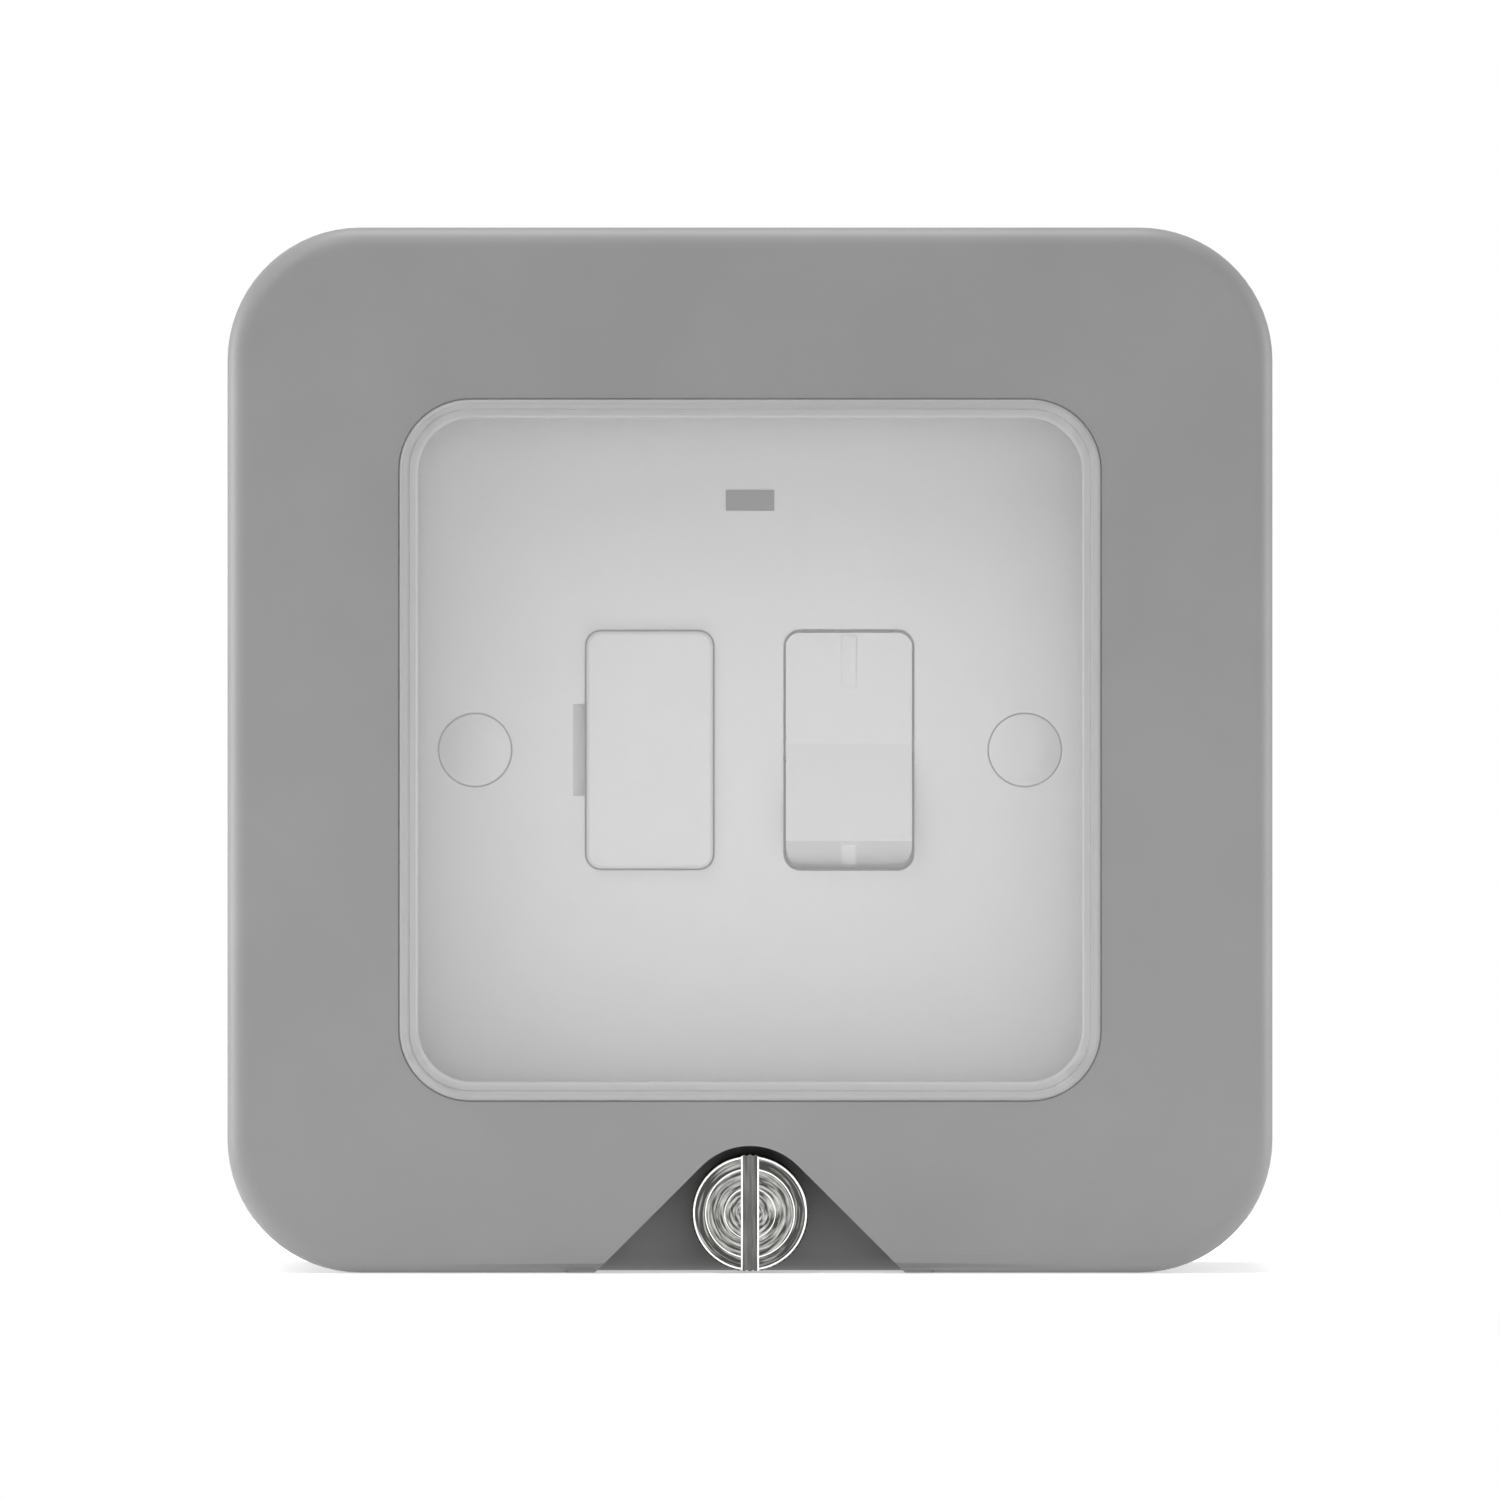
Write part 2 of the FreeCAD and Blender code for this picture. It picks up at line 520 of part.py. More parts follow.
def lidFrame():
    """Lid moulding: skirt, front skin with window opening, seal channel, screw notch and hinge arms."""
    body = newBody("lid_frame")
    outline = newSketch(body, "XZ_Plane", depth=lidBack)
    drawRounded(outline, "boxWidth", "boxHeight", "boxCorner")
    block = pad(outline, "lidDepth")
    rounded(block, "lidEdgeRadius", atDepth(lidFront))
    inside = newSketch(body, "XZ_Plane", depth=lidBack)
    drawRounded(inside, cavityWidth, cavityHeight, cavityCorner)
    pocket(inside, "lidDepth - lidSkin", reverse=True)

    head = ringAroundPlate(body, channelEnd, channelInner, channelOuter)
    pad(head, "channelHead")
    web = ringAroundPlate(body, f"({channelEnd} + channelHead / 2)", channelInner,
                          "(channelGap + channelWeb)")
    pad(web, f"{skinBack} + lidSkin / 2 - {channelEnd} - channelHead / 2")

    notchCase = newSketch(body, "XZ_Plane", depth=notchFloorBack, up=screwUp)
    drawNotch(notchCase, "(notchRadius + notchWall)")
    pad(notchCase, "notchFloor + notchDepth - lidSkin / 2")
    trim = newSketch(body, "XZ_Plane", depth=f"({notchFloorBack} - wallThickness)")
    drawRounded(trim, "boxWidth", "boxHeight", "boxCorner")
    drawRounded(trim, "2 * boxWidth", "2 * boxHeight", "boxCorner")
    pocket(trim, "2 * lidDepth", reverse=True)

    groove = ringAroundPlate(body, channelEnd, grooveInner, grooveOuter)
    pocket(groove, "sealGroove", reverse=True)

    opening = newSketch(body, "XZ_Plane", depth=lidFront)
    drawWindowHole(opening, "windowFit")
    pocket(opening, "lidSkin + windowFit")
    rebate = newSketch(body, "XZ_Plane", depth=lidFront)
    drawWindow(rebate, "windowFit")
    pocket(rebate, "windowRebate")

    notch = newSketch(body, "XZ_Plane", depth=lidFront, up=screwUp)
    drawNotch(notch, "notchRadius")
    cut = pocket(notch, "notchDepth")
    bottom = value("-boxHeight / 2")
    isFloorEdge = atDepth(notchFloorFront)
    rounded(cut, "notchLipRadius",
            lambda edge: isFloorEdge(edge) and abs(edge.CenterOfMass.z - bottom) < sameLevel)
    hole = newSketch(body, "XZ_Plane", depth=notchFloorFront, up=screwUp)
    drawCircle(hole, "screwHoleRadius")
    pocket(hole, "notchFloor + smallGap")

    relief = newSketch(body, "YZ_Plane", depth=hingeDepth, up=hingeUp)
    drawCircle(relief, "sqrt((hingeBack - seamGap)^2 + hingeDown^2) + hingeRelief")
    pocket(relief, "boxWidth - 2 * boxCorner + 2 * sqrt(boxCorner^2 - (boxCorner - hingeDown)^2)",
           middle=True)
    for side in (-1, 1):
        arm = newSketch(body, "YZ_Plane", across=f"{side} * hingeSpacing / 2", depth=hingeDepth, up=hingeUp)
        drawHingeArm(arm)
        pad(arm, "hingeArmWidth", middle=True)
        bore = newSketch(body, "YZ_Plane", across=f"{side} * hingeSpacing / 2", depth=hingeDepth, up=hingeUp)
        drawCircle(bore, "hingePinRadius + hingePinFit")
        pocket(bore, "hingeArmWidth + hingeSideGap", middle=True)
    return body


def lidSeal():
    """Rubber ring in the lid's channel, which closes on the base's lip."""
    body = newBody("lid_seal")
    pad(ringAroundPlate(body, "baseDepth", sealInner, sealOuter), "sealHeight")
    return body


def windowPane():
    """Clear moulding: a flange with a raised bead, a spigot through the lid and a thinner pane."""
    body = newBody("window")
    rebateFloor = f"({lidFront} - windowRebate)"
    flangeTop = f"({lidFront} + smallGap)"
    flange = newSketch(body, "XZ_Plane", depth=rebateFloor)
    drawWindow(flange, "0")
    pad(flange, "windowRebate + smallGap")
    bead = newSketch(body, "XZ_Plane", depth=flangeTop)
    drawWindow(bead, "0")
    drawWindow(bead, "(-beadWidth)")
    top = pad(bead, "beadHeight")
    rounded(top, "beadRadius", atDepth(f"({flangeTop} + beadHeight)"))
    spigot = newSketch(body, "XZ_Plane", depth=rebateFloor)
    drawWindowHole(spigot, "0")
    pad(spigot, "lidSkin - windowRebate + paneDrop", reverse=True)
    field = newSketch(body, "XZ_Plane", depth=flangeTop)
    drawWindow(field, "(-windowRim)")
    pocket(field, "paneDrop")
    recess = newSketch(body, "XZ_Plane", depth=f"({skinBack} - paneDrop)")
    drawWindowHole(recess, "(-windowRim)")
    pocket(recess, "lidSkin + smallGap - windowPane", reverse=True)
    return body


def hingePins():
    """Two steel pins, each held in a pair of ears."""
    pins = []
    for name, side in (("hinge_pin_left", -1), ("hinge_pin_right", 1)):
        body = newBody(name, f"{side} * hingeSpacing / 2", hingeDepth, hingeUp)
        section = newSketch(body, "YZ_Plane")
        drawCircle(section, "hingePinRadius")
        pad(section, f"{earWidth} - 2 * hingePinInset - smallGap", middle=True)
        pins.append(body)
    return pins


def thumbscrew():
    """Captive slotted thumbscrew: head, collar, waisted neck and threaded end at the thread's root size."""
    tip = f"({headBack} - ({flangeFront} - insertInset - screwEngagement))"
    neckStart = f"({headBack} - {notchFloorBack} - smallGap)"
    neckEnd = f"({neckStart} + {screwTravel} + retainerThickness + 2 * smallGap)"
    body = turnedFront("thumbscrew", "0", headBack, screwUp, [
        (f"-{tip}", "0"), (f"-{tip}", "screwShankRadius - smallGap"),
        (f"-{tip} + smallGap", "screwShankRadius"), (f"-{neckEnd}", "screwShankRadius"),
        (f"-{neckEnd}", "screwNeckRadius"),
        (f"-{neckStart}", "screwNeckRadius"), (f"-{neckStart}", "screwShankRadius"),
        ("-screwCollarLength", "screwShankRadius"),
        ("-screwCollarLength", "screwCollarRadius"), ("0", "screwCollarRadius"),
        ("0", "screwHeadRadius - screwRim"), ("screwRim", "screwHeadRadius"),
        ("screwHeadLength - screwRim", "screwHeadRadius"), ("screwHeadLength", "screwHeadRadius - screwRim"),
        ("screwHeadLength", "0")])
    slot = newSketch(body, "XZ_Plane", depth="screwHeadLength")
    drawRectangle(slot, "screwSlotWidth", "3 * screwHeadRadius")
    pocket(slot, "screwSlotDepth")
    return body


def washerAt(name, depth, inner, outer, thickness):
    body = newBody(name, "0", depth, screwUp)
    ring = newSketch(body, "XZ_Plane")
    drawCircle(ring, outer)
    drawCircle(ring, inner)
    pad(ring, thickness)
    return body


def insertAt(name, across, depth, up, bore, outer, length):
    """A threaded brass insert whose front face is at the given depth."""
    return turnedFront(name, across, depth, up, [
        ("0", bore), ("0", f"({outer} - smallGap / 2)"), (f"-({length}) / 3", f"({outer} - smallGap / 2)"),
        (f"-({length}) / 3", f"({outer} - smallGap)"), (f"-({length}) / 2", f"({outer} - smallGap)"),
        (f"-({length}) / 2", f"({outer} - smallGap / 2)"), (f"-({length})", f"({outer} - smallGap / 2)"),
        (f"-({length})", bore)])


def blankingPlugs():
    """Screwed plugs in the unused conduit entries, flush with the box and slotted for a coin."""
    plugs = []
    for side in ("top", "left", "right"):
        across, up = entries[side]
        body = newBody("blanking_plug_" + side)
        outward = side in ("top", "right")
        disc = entrySketch(body, side, "plugInset + plugLength" if outward else "plugInset")
        drawCircle(disc, "entryRadius - plugFit")
        pad(disc, "plugLength")
        slot = entrySketch(body, side, "plugInset" if outward else "plugInset + plugSlotDepth")
        slotSides = ("plugSlotWidth", "plugSlotLength") if up else ("plugSlotLength", "plugSlotWidth")
        drawRectangle(slot, *slotSides)
        pocket(slot, "plugSlotDepth")
        behindSlot = "plugInset + plugSlotDepth + plugSlotWidth"
        hollow = entrySketch(body, side, behindSlot if outward else "plugInset + plugLength")
        drawCircle(hollow, "entryRadius - plugFit - wallThickness")
        pocket(hollow, "plugLength - plugSlotDepth - plugSlotWidth")
        plugs.append(body)
    return plugs


# Places of the parts of the fused unit
rockerOpening = "(rockerWidth + 2 * rockerGap)"
rockerSlot = "(2 * rockerSwing + 2 * rockerGap)"
rockerAxis = f"({plateFront} - rockerPivot)"
carrierOpening = "(carrierWidth + 2 * carrierGap)"
carrierSlot = "(carrierHeight + 2 * carrierGap)"
carrierFront = f"({plateFront} + carrierProud)"
fuseMiddle = f"({plateFront} - fuseDepth)"
housingBack = f"({flangeFront} - housingDepth)"
fuseFloor = f"({flangeFront} - fuseCavity)"
clipBase = f"({fuseFloor} + clipSeat)"
clipUp = "(fuseLength / 2 - fuseCapLength / 2)"
switchFloor = f"({flangeFront} - switchCavity)"
poles = {"live": -1, "neutral": 1}
capDepth = f"({plateFront} - capSink - capThickness)"
plateSeat = f"({plateFront} - plateScrewSeat)"


def frontPlate():
    """Front plate: a shallow tray with guides for rocker and fuse carrier, bosses and openings."""
    body = newBody("front_plate")
    outline = newSketch(body, "XZ_Plane", depth=flangeFront)
    drawAroundPlate(outline, "0")
    block = pad(outline, "plateDepth")
    rounded(block, "plateEdgeRadius", atDepth(plateFront))
    inside = newSketch(body, "XZ_Plane", depth=flangeFront)
    drawRounded(inside, "plateWidth - 2 * plateWall", "plateHeight - 2 * plateWall",
                "plateCorner - plateWall / 2")
    pocket(inside, "plateDepth - plateSkin", reverse=True)

    guides = newSketch(body, "XZ_Plane", depth=flangeFront, across="rockerCentre")
    drawRounded(guides, f"{rockerOpening} + 2 * guideWall", f"{rockerSlot} + 2 * guideWall",
                "rockerCorner + guideWall")
    pad(guides, "plateDepth - plateSkin / 2")
    guides = newSketch(body, "XZ_Plane", depth=flangeFront, across="carrierCentre")
    drawRounded(guides, f"{carrierOpening} + 2 * guideWall", f"{carrierSlot} + 2 * guideWall",
                "carrierCorner + guideWall")
    pad(guides, "plateDepth - plateSkin / 2")
    for side in (-1, 1):
        boss = newSketch(body, "XZ_Plane", depth=flangeFront, across=f"{side} * plateFixing / 2")
        drawCircle(boss, "plateBoss")
        pad(boss, "plateDepth - plateSkin / 2")
        boss = newSketch(body, "XZ_Plane", depth=flangeFront, up=f"{side} * housingScrewUp")
        drawCircle(boss, "housingBoss")
        pad(boss, "plateDepth - plateSkin / 2")

    opening = newSketch(body, "XZ_Plane", depth=plateFront, across="rockerCentre")
    drawRounded(opening, rockerOpening, rockerSlot, "rockerCorner + rockerGap")
    pocket(opening, "plateDepth")
    opening = newSketch(body, "XZ_Plane", depth=plateFront, across="carrierCentre")
    drawRounded(opening, carrierOpening, carrierSlot, "carrierCorner + carrierGap")
    pocket(opening, "plateDepth")
    pryEdge = f"(carrierCentre - {carrierOpening} / 2)"
    pry = newSketch(body, "XY_Plane")
    drawPolygon(pry, [(f"{pryEdge} - prySlotWidth", f"-{plateFront}"),
                      (f"{pryEdge} + carrierGap", f"-{plateFront}"),
                      (f"{pryEdge} + carrierGap", f"-({plateFront} - prySlotDepth)"),
                      (pryEdge, f"-({plateFront} - prySlotDepth)")])
    pocket(pry, "prySlotHeight", middle=True)
    for side in (-1, 1):
        spot = f"{side} * plateFixing / 2"
        seat = newSketch(body, "XZ_Plane", depth=plateFront, across=spot)
        drawCircle(seat, "capRadius + capFit")
        pocket(seat, "plateScrewSeat")
        hole = newSketch(body, "XZ_Plane", depth=plateFront, across=spot)
        drawCircle(hole, "plateHoleRadius")
        pocket(hole, "plateDepth")
        pilot = newSketch(body, "XZ_Plane", depth=flangeFront, up=f"{side} * housingScrewUp")
        drawCircle(pilot, "housingScrewRadius + plateScrewFit")
        pocket(pilot, "plateDepth - plateSkin", reverse=True)
    lens = newSketch(body, "XZ_Plane", depth=plateFront, up="neonUp")
    drawRectangle(lens, "lensWidth + 2 * lensFit", "lensHeight + 2 * lensFit")
    pocket(lens, "plateSkin + smallGap")
    stubs = newSketch(body, "YZ_Plane", across="rockerCentre", depth=rockerAxis)
    drawCircle(stubs, "stubRadius + stubFit")
    pocket(stubs, f"{rockerOpening} + 2 * guideWall + smallGap", middle=True)
    return body


def rearHousing():
    """Rear housing: rocker and fuse wells, clip seat, contact ledge and open-edged terminal pockets."""
    body = newBody("rear_housing")
    outline = newSketch(body, "XZ_Plane", depth=housingBack)
    drawRounded(outline, "housingWidth", "housingHeight", "housingCorner")
    pad(outline, "housingDepth")
    well = newSketch(body, "XZ_Plane", depth=flangeFront, across="rockerCentre")
    drawRounded(well, rockerOpening, rockerSlot, "rockerCorner")
    pocket(well, "switchCavity")
    well = newSketch(body, "XZ_Plane", depth=flangeFront, across="carrierCentre")
    drawRounded(well, carrierOpening, carrierSlot, "carrierCorner")
    pocket(well, "fuseCavity")
    seat = newSketch(body, "XZ_Plane", depth=fuseFloor, across="carrierCentre")
    drawRectangle(seat, "carrierWidth - 2 * carrierWall - 4 * smallGap", f"{carrierSlot} + smallGap")
    pad(seat, "clipSeat")
    ledgeEnd = f"({rockerSlot} / 2)"
    ledge = newSketch(body, "XZ_Plane", depth=switchFloor, across="rockerCentre",
                      up=f"({ledgeEnd} + buttonUp - buttonRadius) / 2")
    drawRectangle(ledge, f"{rockerOpening} + smallGap", f"{ledgeEnd} - buttonUp + buttonRadius + smallGap")
    pad(ledge, f"{fixedStripBack} - {switchFloor}")
    for up in (-1, 1):
        for across in (-1, 0, 1):
            spot = {"across": f"{across} * terminalSpacing", "up": f"{up} * (terminalUp + wallThickness)"}
            room = newSketch(body, "XZ_Plane", depth=housingBack, **spot)
            drawRectangle(room, "terminalWidth + 2 * terminalFit",
                          "terminalHeight + 2 * terminalFit + 2 * wallThickness")
            pocket(room, "terminalInset + terminalDepth", reverse=True)
        sink = newSketch(body, "XZ_Plane", depth=housingBack, up=f"{up} * housingScrewUp")
        drawCircle(sink, "housingScrewHead + terminalFit")
        pocket(sink, "housingScrewSink", reverse=True)
        hole = newSketch(body, "XZ_Plane", depth=housingBack, up=f"{up} * housingScrewUp")
        drawCircle(hole, "housingScrewRadius + plateScrewFit")
        pocket(hole, "housingDepth", reverse=True)
    return body


# Switch mechanism levels
contactFront = f"({rockerAxis} - plungerReach - smallGap)"
contactBack = f"({contactFront} - contactThickness)"
fulcrumAxis = f"({contactBack} - smallGap - fulcrumRadius)"
buttonBack = f"({contactBack} - buttonHeight - {fulcrumAxis})"
closedGap = "(contactTilt / 2)"
fixedButtonFront = (f"({fulcrumAxis} + {buttonBack} * cos({closedGap})"
                    f" - (buttonUp + buttonRadius) * sin({closedGap}) - smallGap)")
fixedStripBack = f"({fixedButtonFront} - buttonHeight - footThickness)"


def rocker():
    """Rocker: two faces in a shallow V, ends round about the pivot, hollow behind with two tubes."""
    body = tiltedBody("rocker", "rockerCentre", rockerAxis, "-rockerThrow / 2")
    half = "(rockerThrow / 2)"
    level = "(rockerPivot + rockerProud)"
    run = f"sqrt(rockerSwing^2 - {level}^2)"
    crease = f"({level} / cos({half}))"
    noseForward = f"({level} * cos({half}) + {run} * sin({half}))"
    noseUp = f"({run} * cos({half}) - {level} * sin({half}))"
    skirtUp = "sqrt(rockerSwing^2 - rockerSkirt^2)"

    outline = newSketch(body, "XZ_Plane", depth="-rockerSkirt")
    drawRounded(outline, "rockerWidth", "2 * rockerSwing", "rockerCorner")
    pad(outline, "rockerSkirt + rockerSwing")
    shape = newSketch(body, "YZ_Plane")
    nose, skirt = (value(noseForward), value(noseUp)), (value("rockerSkirt"), value(skirtUp))
    angleNose = math.degrees(math.atan2(nose[1], -nose[0]))
    angleSkirt = math.degrees(math.atan2(skirt[1], skirt[0]))
    swing = value("rockerSwing")
    shape.addGeometry(line((-value(crease), 0), (-nose[0], nose[1])), False)
    shape.addGeometry(arc((0, 0), swing, angleSkirt, angleNose), False)
    shape.addGeometry(line(skirt, (skirt[0], -skirt[1])), False)
    shape.addGeometry(arc((0, 0), swing, -angleNose, -angleSkirt), False)
    shape.addGeometry(line((-nose[0], -nose[1]), (-value(crease), 0)), False)
    ends = [(0, 2, 1, 2), (1, 1, 2, 1), (2, 2, 3, 2), (3, 1, 4, 1), (4, 2, 0, 1)]
    for element, point, other, otherPoint in ends:
        shape.addConstraint(Sketcher.Constraint("Coincident", element, point, other, otherPoint))
    for bend in (1, 3):
        shape.addConstraint(Sketcher.Constraint("Coincident", bend, 3, -1, 1))
    shape.addConstraint(Sketcher.Constraint("Vertical", 2))
    located(shape, 0, 1, right=f"-{crease}", top="0")
    located(shape, 0, 2, right=f"-{noseForward}", top=noseUp)
    located(shape, 2, 1, right="rockerSkirt")
    located(shape, 4, 1, right=f"-{noseForward}")
    room = "(2 * rockerSwing)"
    drawPolygon(shape, [(f"-{room}", f"-{room}"), (room, f"-{room}"), (room, room), (f"-{room}", room)])
    pocket(shape, "2 * rockerWidth", middle=True)

    hollow = newSketch(body, "XZ_Plane", depth="-rockerSkirt")
    drawRectangle(hollow, "rockerWidth - 2 * rockerSkin",
                  "2 * rockerSwing - 2 * rockerSkin - 2 * rockerSkirt")
    hollowDepth = f"({crease} - rockerSkin + rockerSkirt)"
    pocket(hollow, hollowDepth, reverse=True)
    for side in (-1, 1):
        stub = newSketch(body, "YZ_Plane", across=f"{side} * (rockerWidth / 2 - rockerSkin / 2)")
        drawCircle(stub, "stubRadius")
        pad(stub, "stubLength + rockerSkin / 2", reverse=side < 0)
    for side in (-1, 1):
        tube = newSketch(body, "XZ_Plane", depth="-guideTubeReach", across=f"{side} * poleSpacing / 2")
        drawCircle(tube, "guideTubeRadius")
        pad(tube, f"guideTubeReach + {crease} - rockerSkin / 2")
    for side in (-1, 1):
        bore = newSketch(body, "XZ_Plane", depth="-guideTubeReach", across=f"{side} * poleSpacing / 2")
        drawCircle(bore, "plungerRadius + plungerFit")
        pocket(bore, f"guideTubeReach + {crease} - rockerSkin", reverse=True)
    return body


def plungers():
    """Sprung plungers in the rocker's tubes, with round noses that press on the contact arms."""
    made = []
    for pole, side in poles.items():
        body = tiltedBody("plunger_" + pole, f"rockerCentre + {side} * poleSpacing / 2", rockerAxis,
                          "-rockerThrow / 2")
        nose = "(plungerRadius / 2)"
        turned(body, "YZ_Plane", "H_Axis", [
            ("plungerReach", "0"), ("plungerReach", nose), (f"plungerReach - {nose}", "plungerRadius"),
            ("plungerReach - plungerLength", "plungerRadius"), ("plungerReach - plungerLength", "0")])
        made.append(body)
    return made


def contactArms():
    """See-saw arms of the two poles, each with a silver button on its upper end."""
    made = []
    for pole, side in poles.items():
        body = tiltedBody("contact_arm_" + pole, f"rockerCentre + {side} * poleSpacing / 2", fulcrumAxis,
                          "contactTilt / 2")
        strip = newSketch(body, "XZ_Plane", depth=f"{contactBack} - {fulcrumAxis}")
        drawRectangle(strip, "contactWidth", "contactLength")
        pad(strip, "contactThickness")
        button = newSketch(body, "XZ_Plane", depth=f"{contactBack} - {fulcrumAxis}", up="buttonUp")
        drawCircle(button, "buttonRadius")
        pad(button, "buttonHeight", reverse=True)
        made.append(body)
    return made


def fulcrums():
    """Rocking posts under the contact arms, with a flat foot on the floor of the well."""
    made = []
    for pole, side in poles.items():
        body = newBody("contact_post_" + pole, f"rockerCentre + {side} * poleSpacing / 2", switchFloor)
        foot = newSketch(body, "XZ_Plane")
        drawRectangle(foot, "contactWidth", "fulcrumFoot")
        pad(foot, "footThickness")
        post = newSketch(body, "XZ_Plane")
        drawRectangle(post, "contactWidth", "2 * fulcrumRadius")
        pad(post, f"{fulcrumAxis} - {switchFloor}")
        top = newSketch(body, "YZ_Plane", depth=f"{fulcrumAxis} - {switchFloor}")
        drawCircle(top, "fulcrumRadius")
        pad(top, "contactWidth", middle=True)
        made.append(body)
    return made


def fixedContacts():
    """Fixed contacts on the ledge at the top of the well, each a strip with a silver button."""
    made = []
    length = f"({rockerSlot} / 2 - buttonUp + buttonRadius)"
    for pole, side in poles.items():
        body = newBody("fixed_contact_" + pole, f"rockerCentre + {side} * poleSpacing / 2", fixedStripBack)
        strip = newSketch(body, "XZ_Plane", up=f"buttonUp - buttonRadius + {length} / 2")
        drawRectangle(strip, "contactWidth", length)
        pad(strip, "footThickness")
        button = newSketch(body, "XZ_Plane", depth="footThickness", up="buttonUp")
        drawCircle(button, "buttonRadius")
        pad(button, "buttonHeight")
        made.append(body)
    return made


def fuseCarrier():
    """Fuse carrier: flush head, two guide legs and a cradle that snaps round the fuse."""
    body = newBody("fuse_carrier", "carrierCentre", carrierFront)
    head = newSketch(body, "XZ_Plane", depth="-carrierHead")
    drawRounded(head, "carrierWidth", "carrierHeight", "carrierCorner")
    block = pad(head, "carrierHead")
    rounded(block, "carrierEdgeRadius", atDepth("0"))
    for side in (-1, 1):
        leg = newSketch(body, "XZ_Plane", depth="-carrierHead / 2",
                        across=f"{side} * (carrierWidth - carrierWall) / 2")
        drawRectangle(leg, "carrierWall", "carrierHeight - 2 * carrierCorner")
        pad(leg, "carrierLegs - carrierHead / 2", reverse=True)
    fuseBack = f"({carrierFront} - {fuseMiddle})"
    cradle = newSketch(body, "XZ_Plane", depth="-carrierHead / 2")
    drawRectangle(cradle, "carrierWidth - carrierWall", "cradleHeight")
    pad(cradle, f"{fuseBack} + cradleReach - carrierHead / 2", reverse=True)
    seat = newSketch(body, "XY_Plane", depth=f"-{fuseBack}")
    drawCircle(seat, "fuseRadius - fuseCapWall + fuseSeatFit")
    pocket(seat, "2 * cradleHeight", middle=True)
    mouth = newSketch(body, "XZ_Plane", depth=f"-{fuseBack}")
    drawRectangle(mouth, "cradleMouth", "2 * cradleHeight")
    pocket(mouth, "2 * cradleReach")
    return body


def fuse():
    """Cartridge fuse: a ceramic tube with a brass cap on each end."""
    body = newBody("fuse_body", "carrierCentre", fuseMiddle)
    length, radius = "(fuseLength / 2 - fuseCapWall)", "(fuseRadius - fuseCapWall)"
    turned(body, "YZ_Plane", "V_Axis", [("0", f"-{length}"), (radius, f"-{length}"), (radius, length),
                                        ("0", length)])
    caps = []
    for name, side in (("fuse_cap_top", 1), ("fuse_cap_bottom", -1)):
        cap = newBody(name, "carrierCentre", fuseMiddle)
        end, mouth = f"{side} * fuseLength / 2", f"{side} * (fuseLength / 2 - fuseCapLength)"
        floor = f"{side} * {length}"
        turned(cap, "YZ_Plane", "V_Axis", [
            ("0", end), (radius, end), ("fuseRadius", floor), ("fuseRadius", mouth), (radius, mouth),
            (radius, floor), ("0", floor)])
        caps.append(cap)
    return [body, *caps]


def fuseClips():
    """Spring clips on the clip seat: two arms that hold each fuse cap from behind."""
    made = []
    for name, side in (("fuse_clip_top", 1), ("fuse_clip_bottom", -1)):
        body = newBody(name, "carrierCentre", clipBase, f"{side} * {clipUp}")
        inner, outer = "(fuseRadius + clipGap)", "(fuseRadius + clipGap + clipThickness)"
        top = f"({fuseMiddle} + clipReach - {clipBase})"
        shape = newSketch(body, "XY_Plane")
        drawPolygon(shape, [
            (f"-{outer}", "0"), (outer, "0"), (outer, f"-{top}"), (inner, f"-{top}"),
            (inner, "-clipThickness"), (f"-{inner}", "-clipThickness"), (f"-{inner}", f"-{top}"),
            (f"-{outer}", f"-{top}")])
        pad(shape, "clipHeight", middle=True)
        made.append(body)
    return made


def neon():
    """Indicator: a flanged lens in the plate, with its lamp and resistor behind."""
    lens = newBody("neon_lens", "0", skinRear, "neonUp")
    flange = newSketch(lens, "XZ_Plane")
    drawRectangle(flange, "lensWidth + 2 * lensFlange", "lensHeight + 2 * lensFlange")
    pad(flange, "lensFlangeThickness", reverse=True)
    window = newSketch(lens, "XZ_Plane", depth="-lensFlangeThickness / 2")
    drawRectangle(window, "lensWidth", "lensHeight")
    pad(window, "lensFlangeThickness / 2 + plateSkin + lensProud")
    lamp = newBody("neon_lamp", "0", f"{flangeFront} + lampRadius", "neonUp")
    bevel = "(lampRadius / 2)"
    turned(lamp, "XY_Plane", "H_Axis", [
        ("-lampLength / 2", "0"), ("-lampLength / 2", "lampRadius"),
        (f"lampLength / 2 - {bevel}", "lampRadius"), ("lampLength / 2", bevel), ("lampLength / 2", "0")])
    resistor = newBody("neon_resistor", "resistorOffset", f"{flangeFront} + resistorRadius", "neonUp")
    turned(resistor, "XY_Plane", "H_Axis", [
        ("-resistorLength / 2", "0"), ("-resistorLength / 2", "resistorRadius"),
        ("-resistorLength / 4", "resistorRadius"), ("-resistorLength / 4", "resistorWaist"),
        ("resistorLength / 4", "resistorWaist"), ("resistorLength / 4", "resistorRadius"),
        ("resistorLength / 2", "resistorRadius"), ("resistorLength / 2", "0")])
    return [lens, lamp, resistor]


def slotted(body, width, across, depth):
    """Cuts a driver slot across a screw head whose face is at the body's own origin plane."""
    slot = newSketch(body, "XZ_Plane")
    drawRectangle(slot, width, across)
    pocket(slot, depth)


def screwCaps():
    """Round covers over the two plate screws."""
    caps = []
    for name, side in (("screw_cap_left", -1), ("screw_cap_right", 1)):
        caps.append(turnedFront(name, f"{side} * plateFixing / 2", capDepth, "0", [
            ("0", "0"), ("0", "capRadius"), ("capThickness - capSink", "capRadius"),
            ("capThickness", "capRadius - capSink"), ("capThickness", "0")]))
    return caps


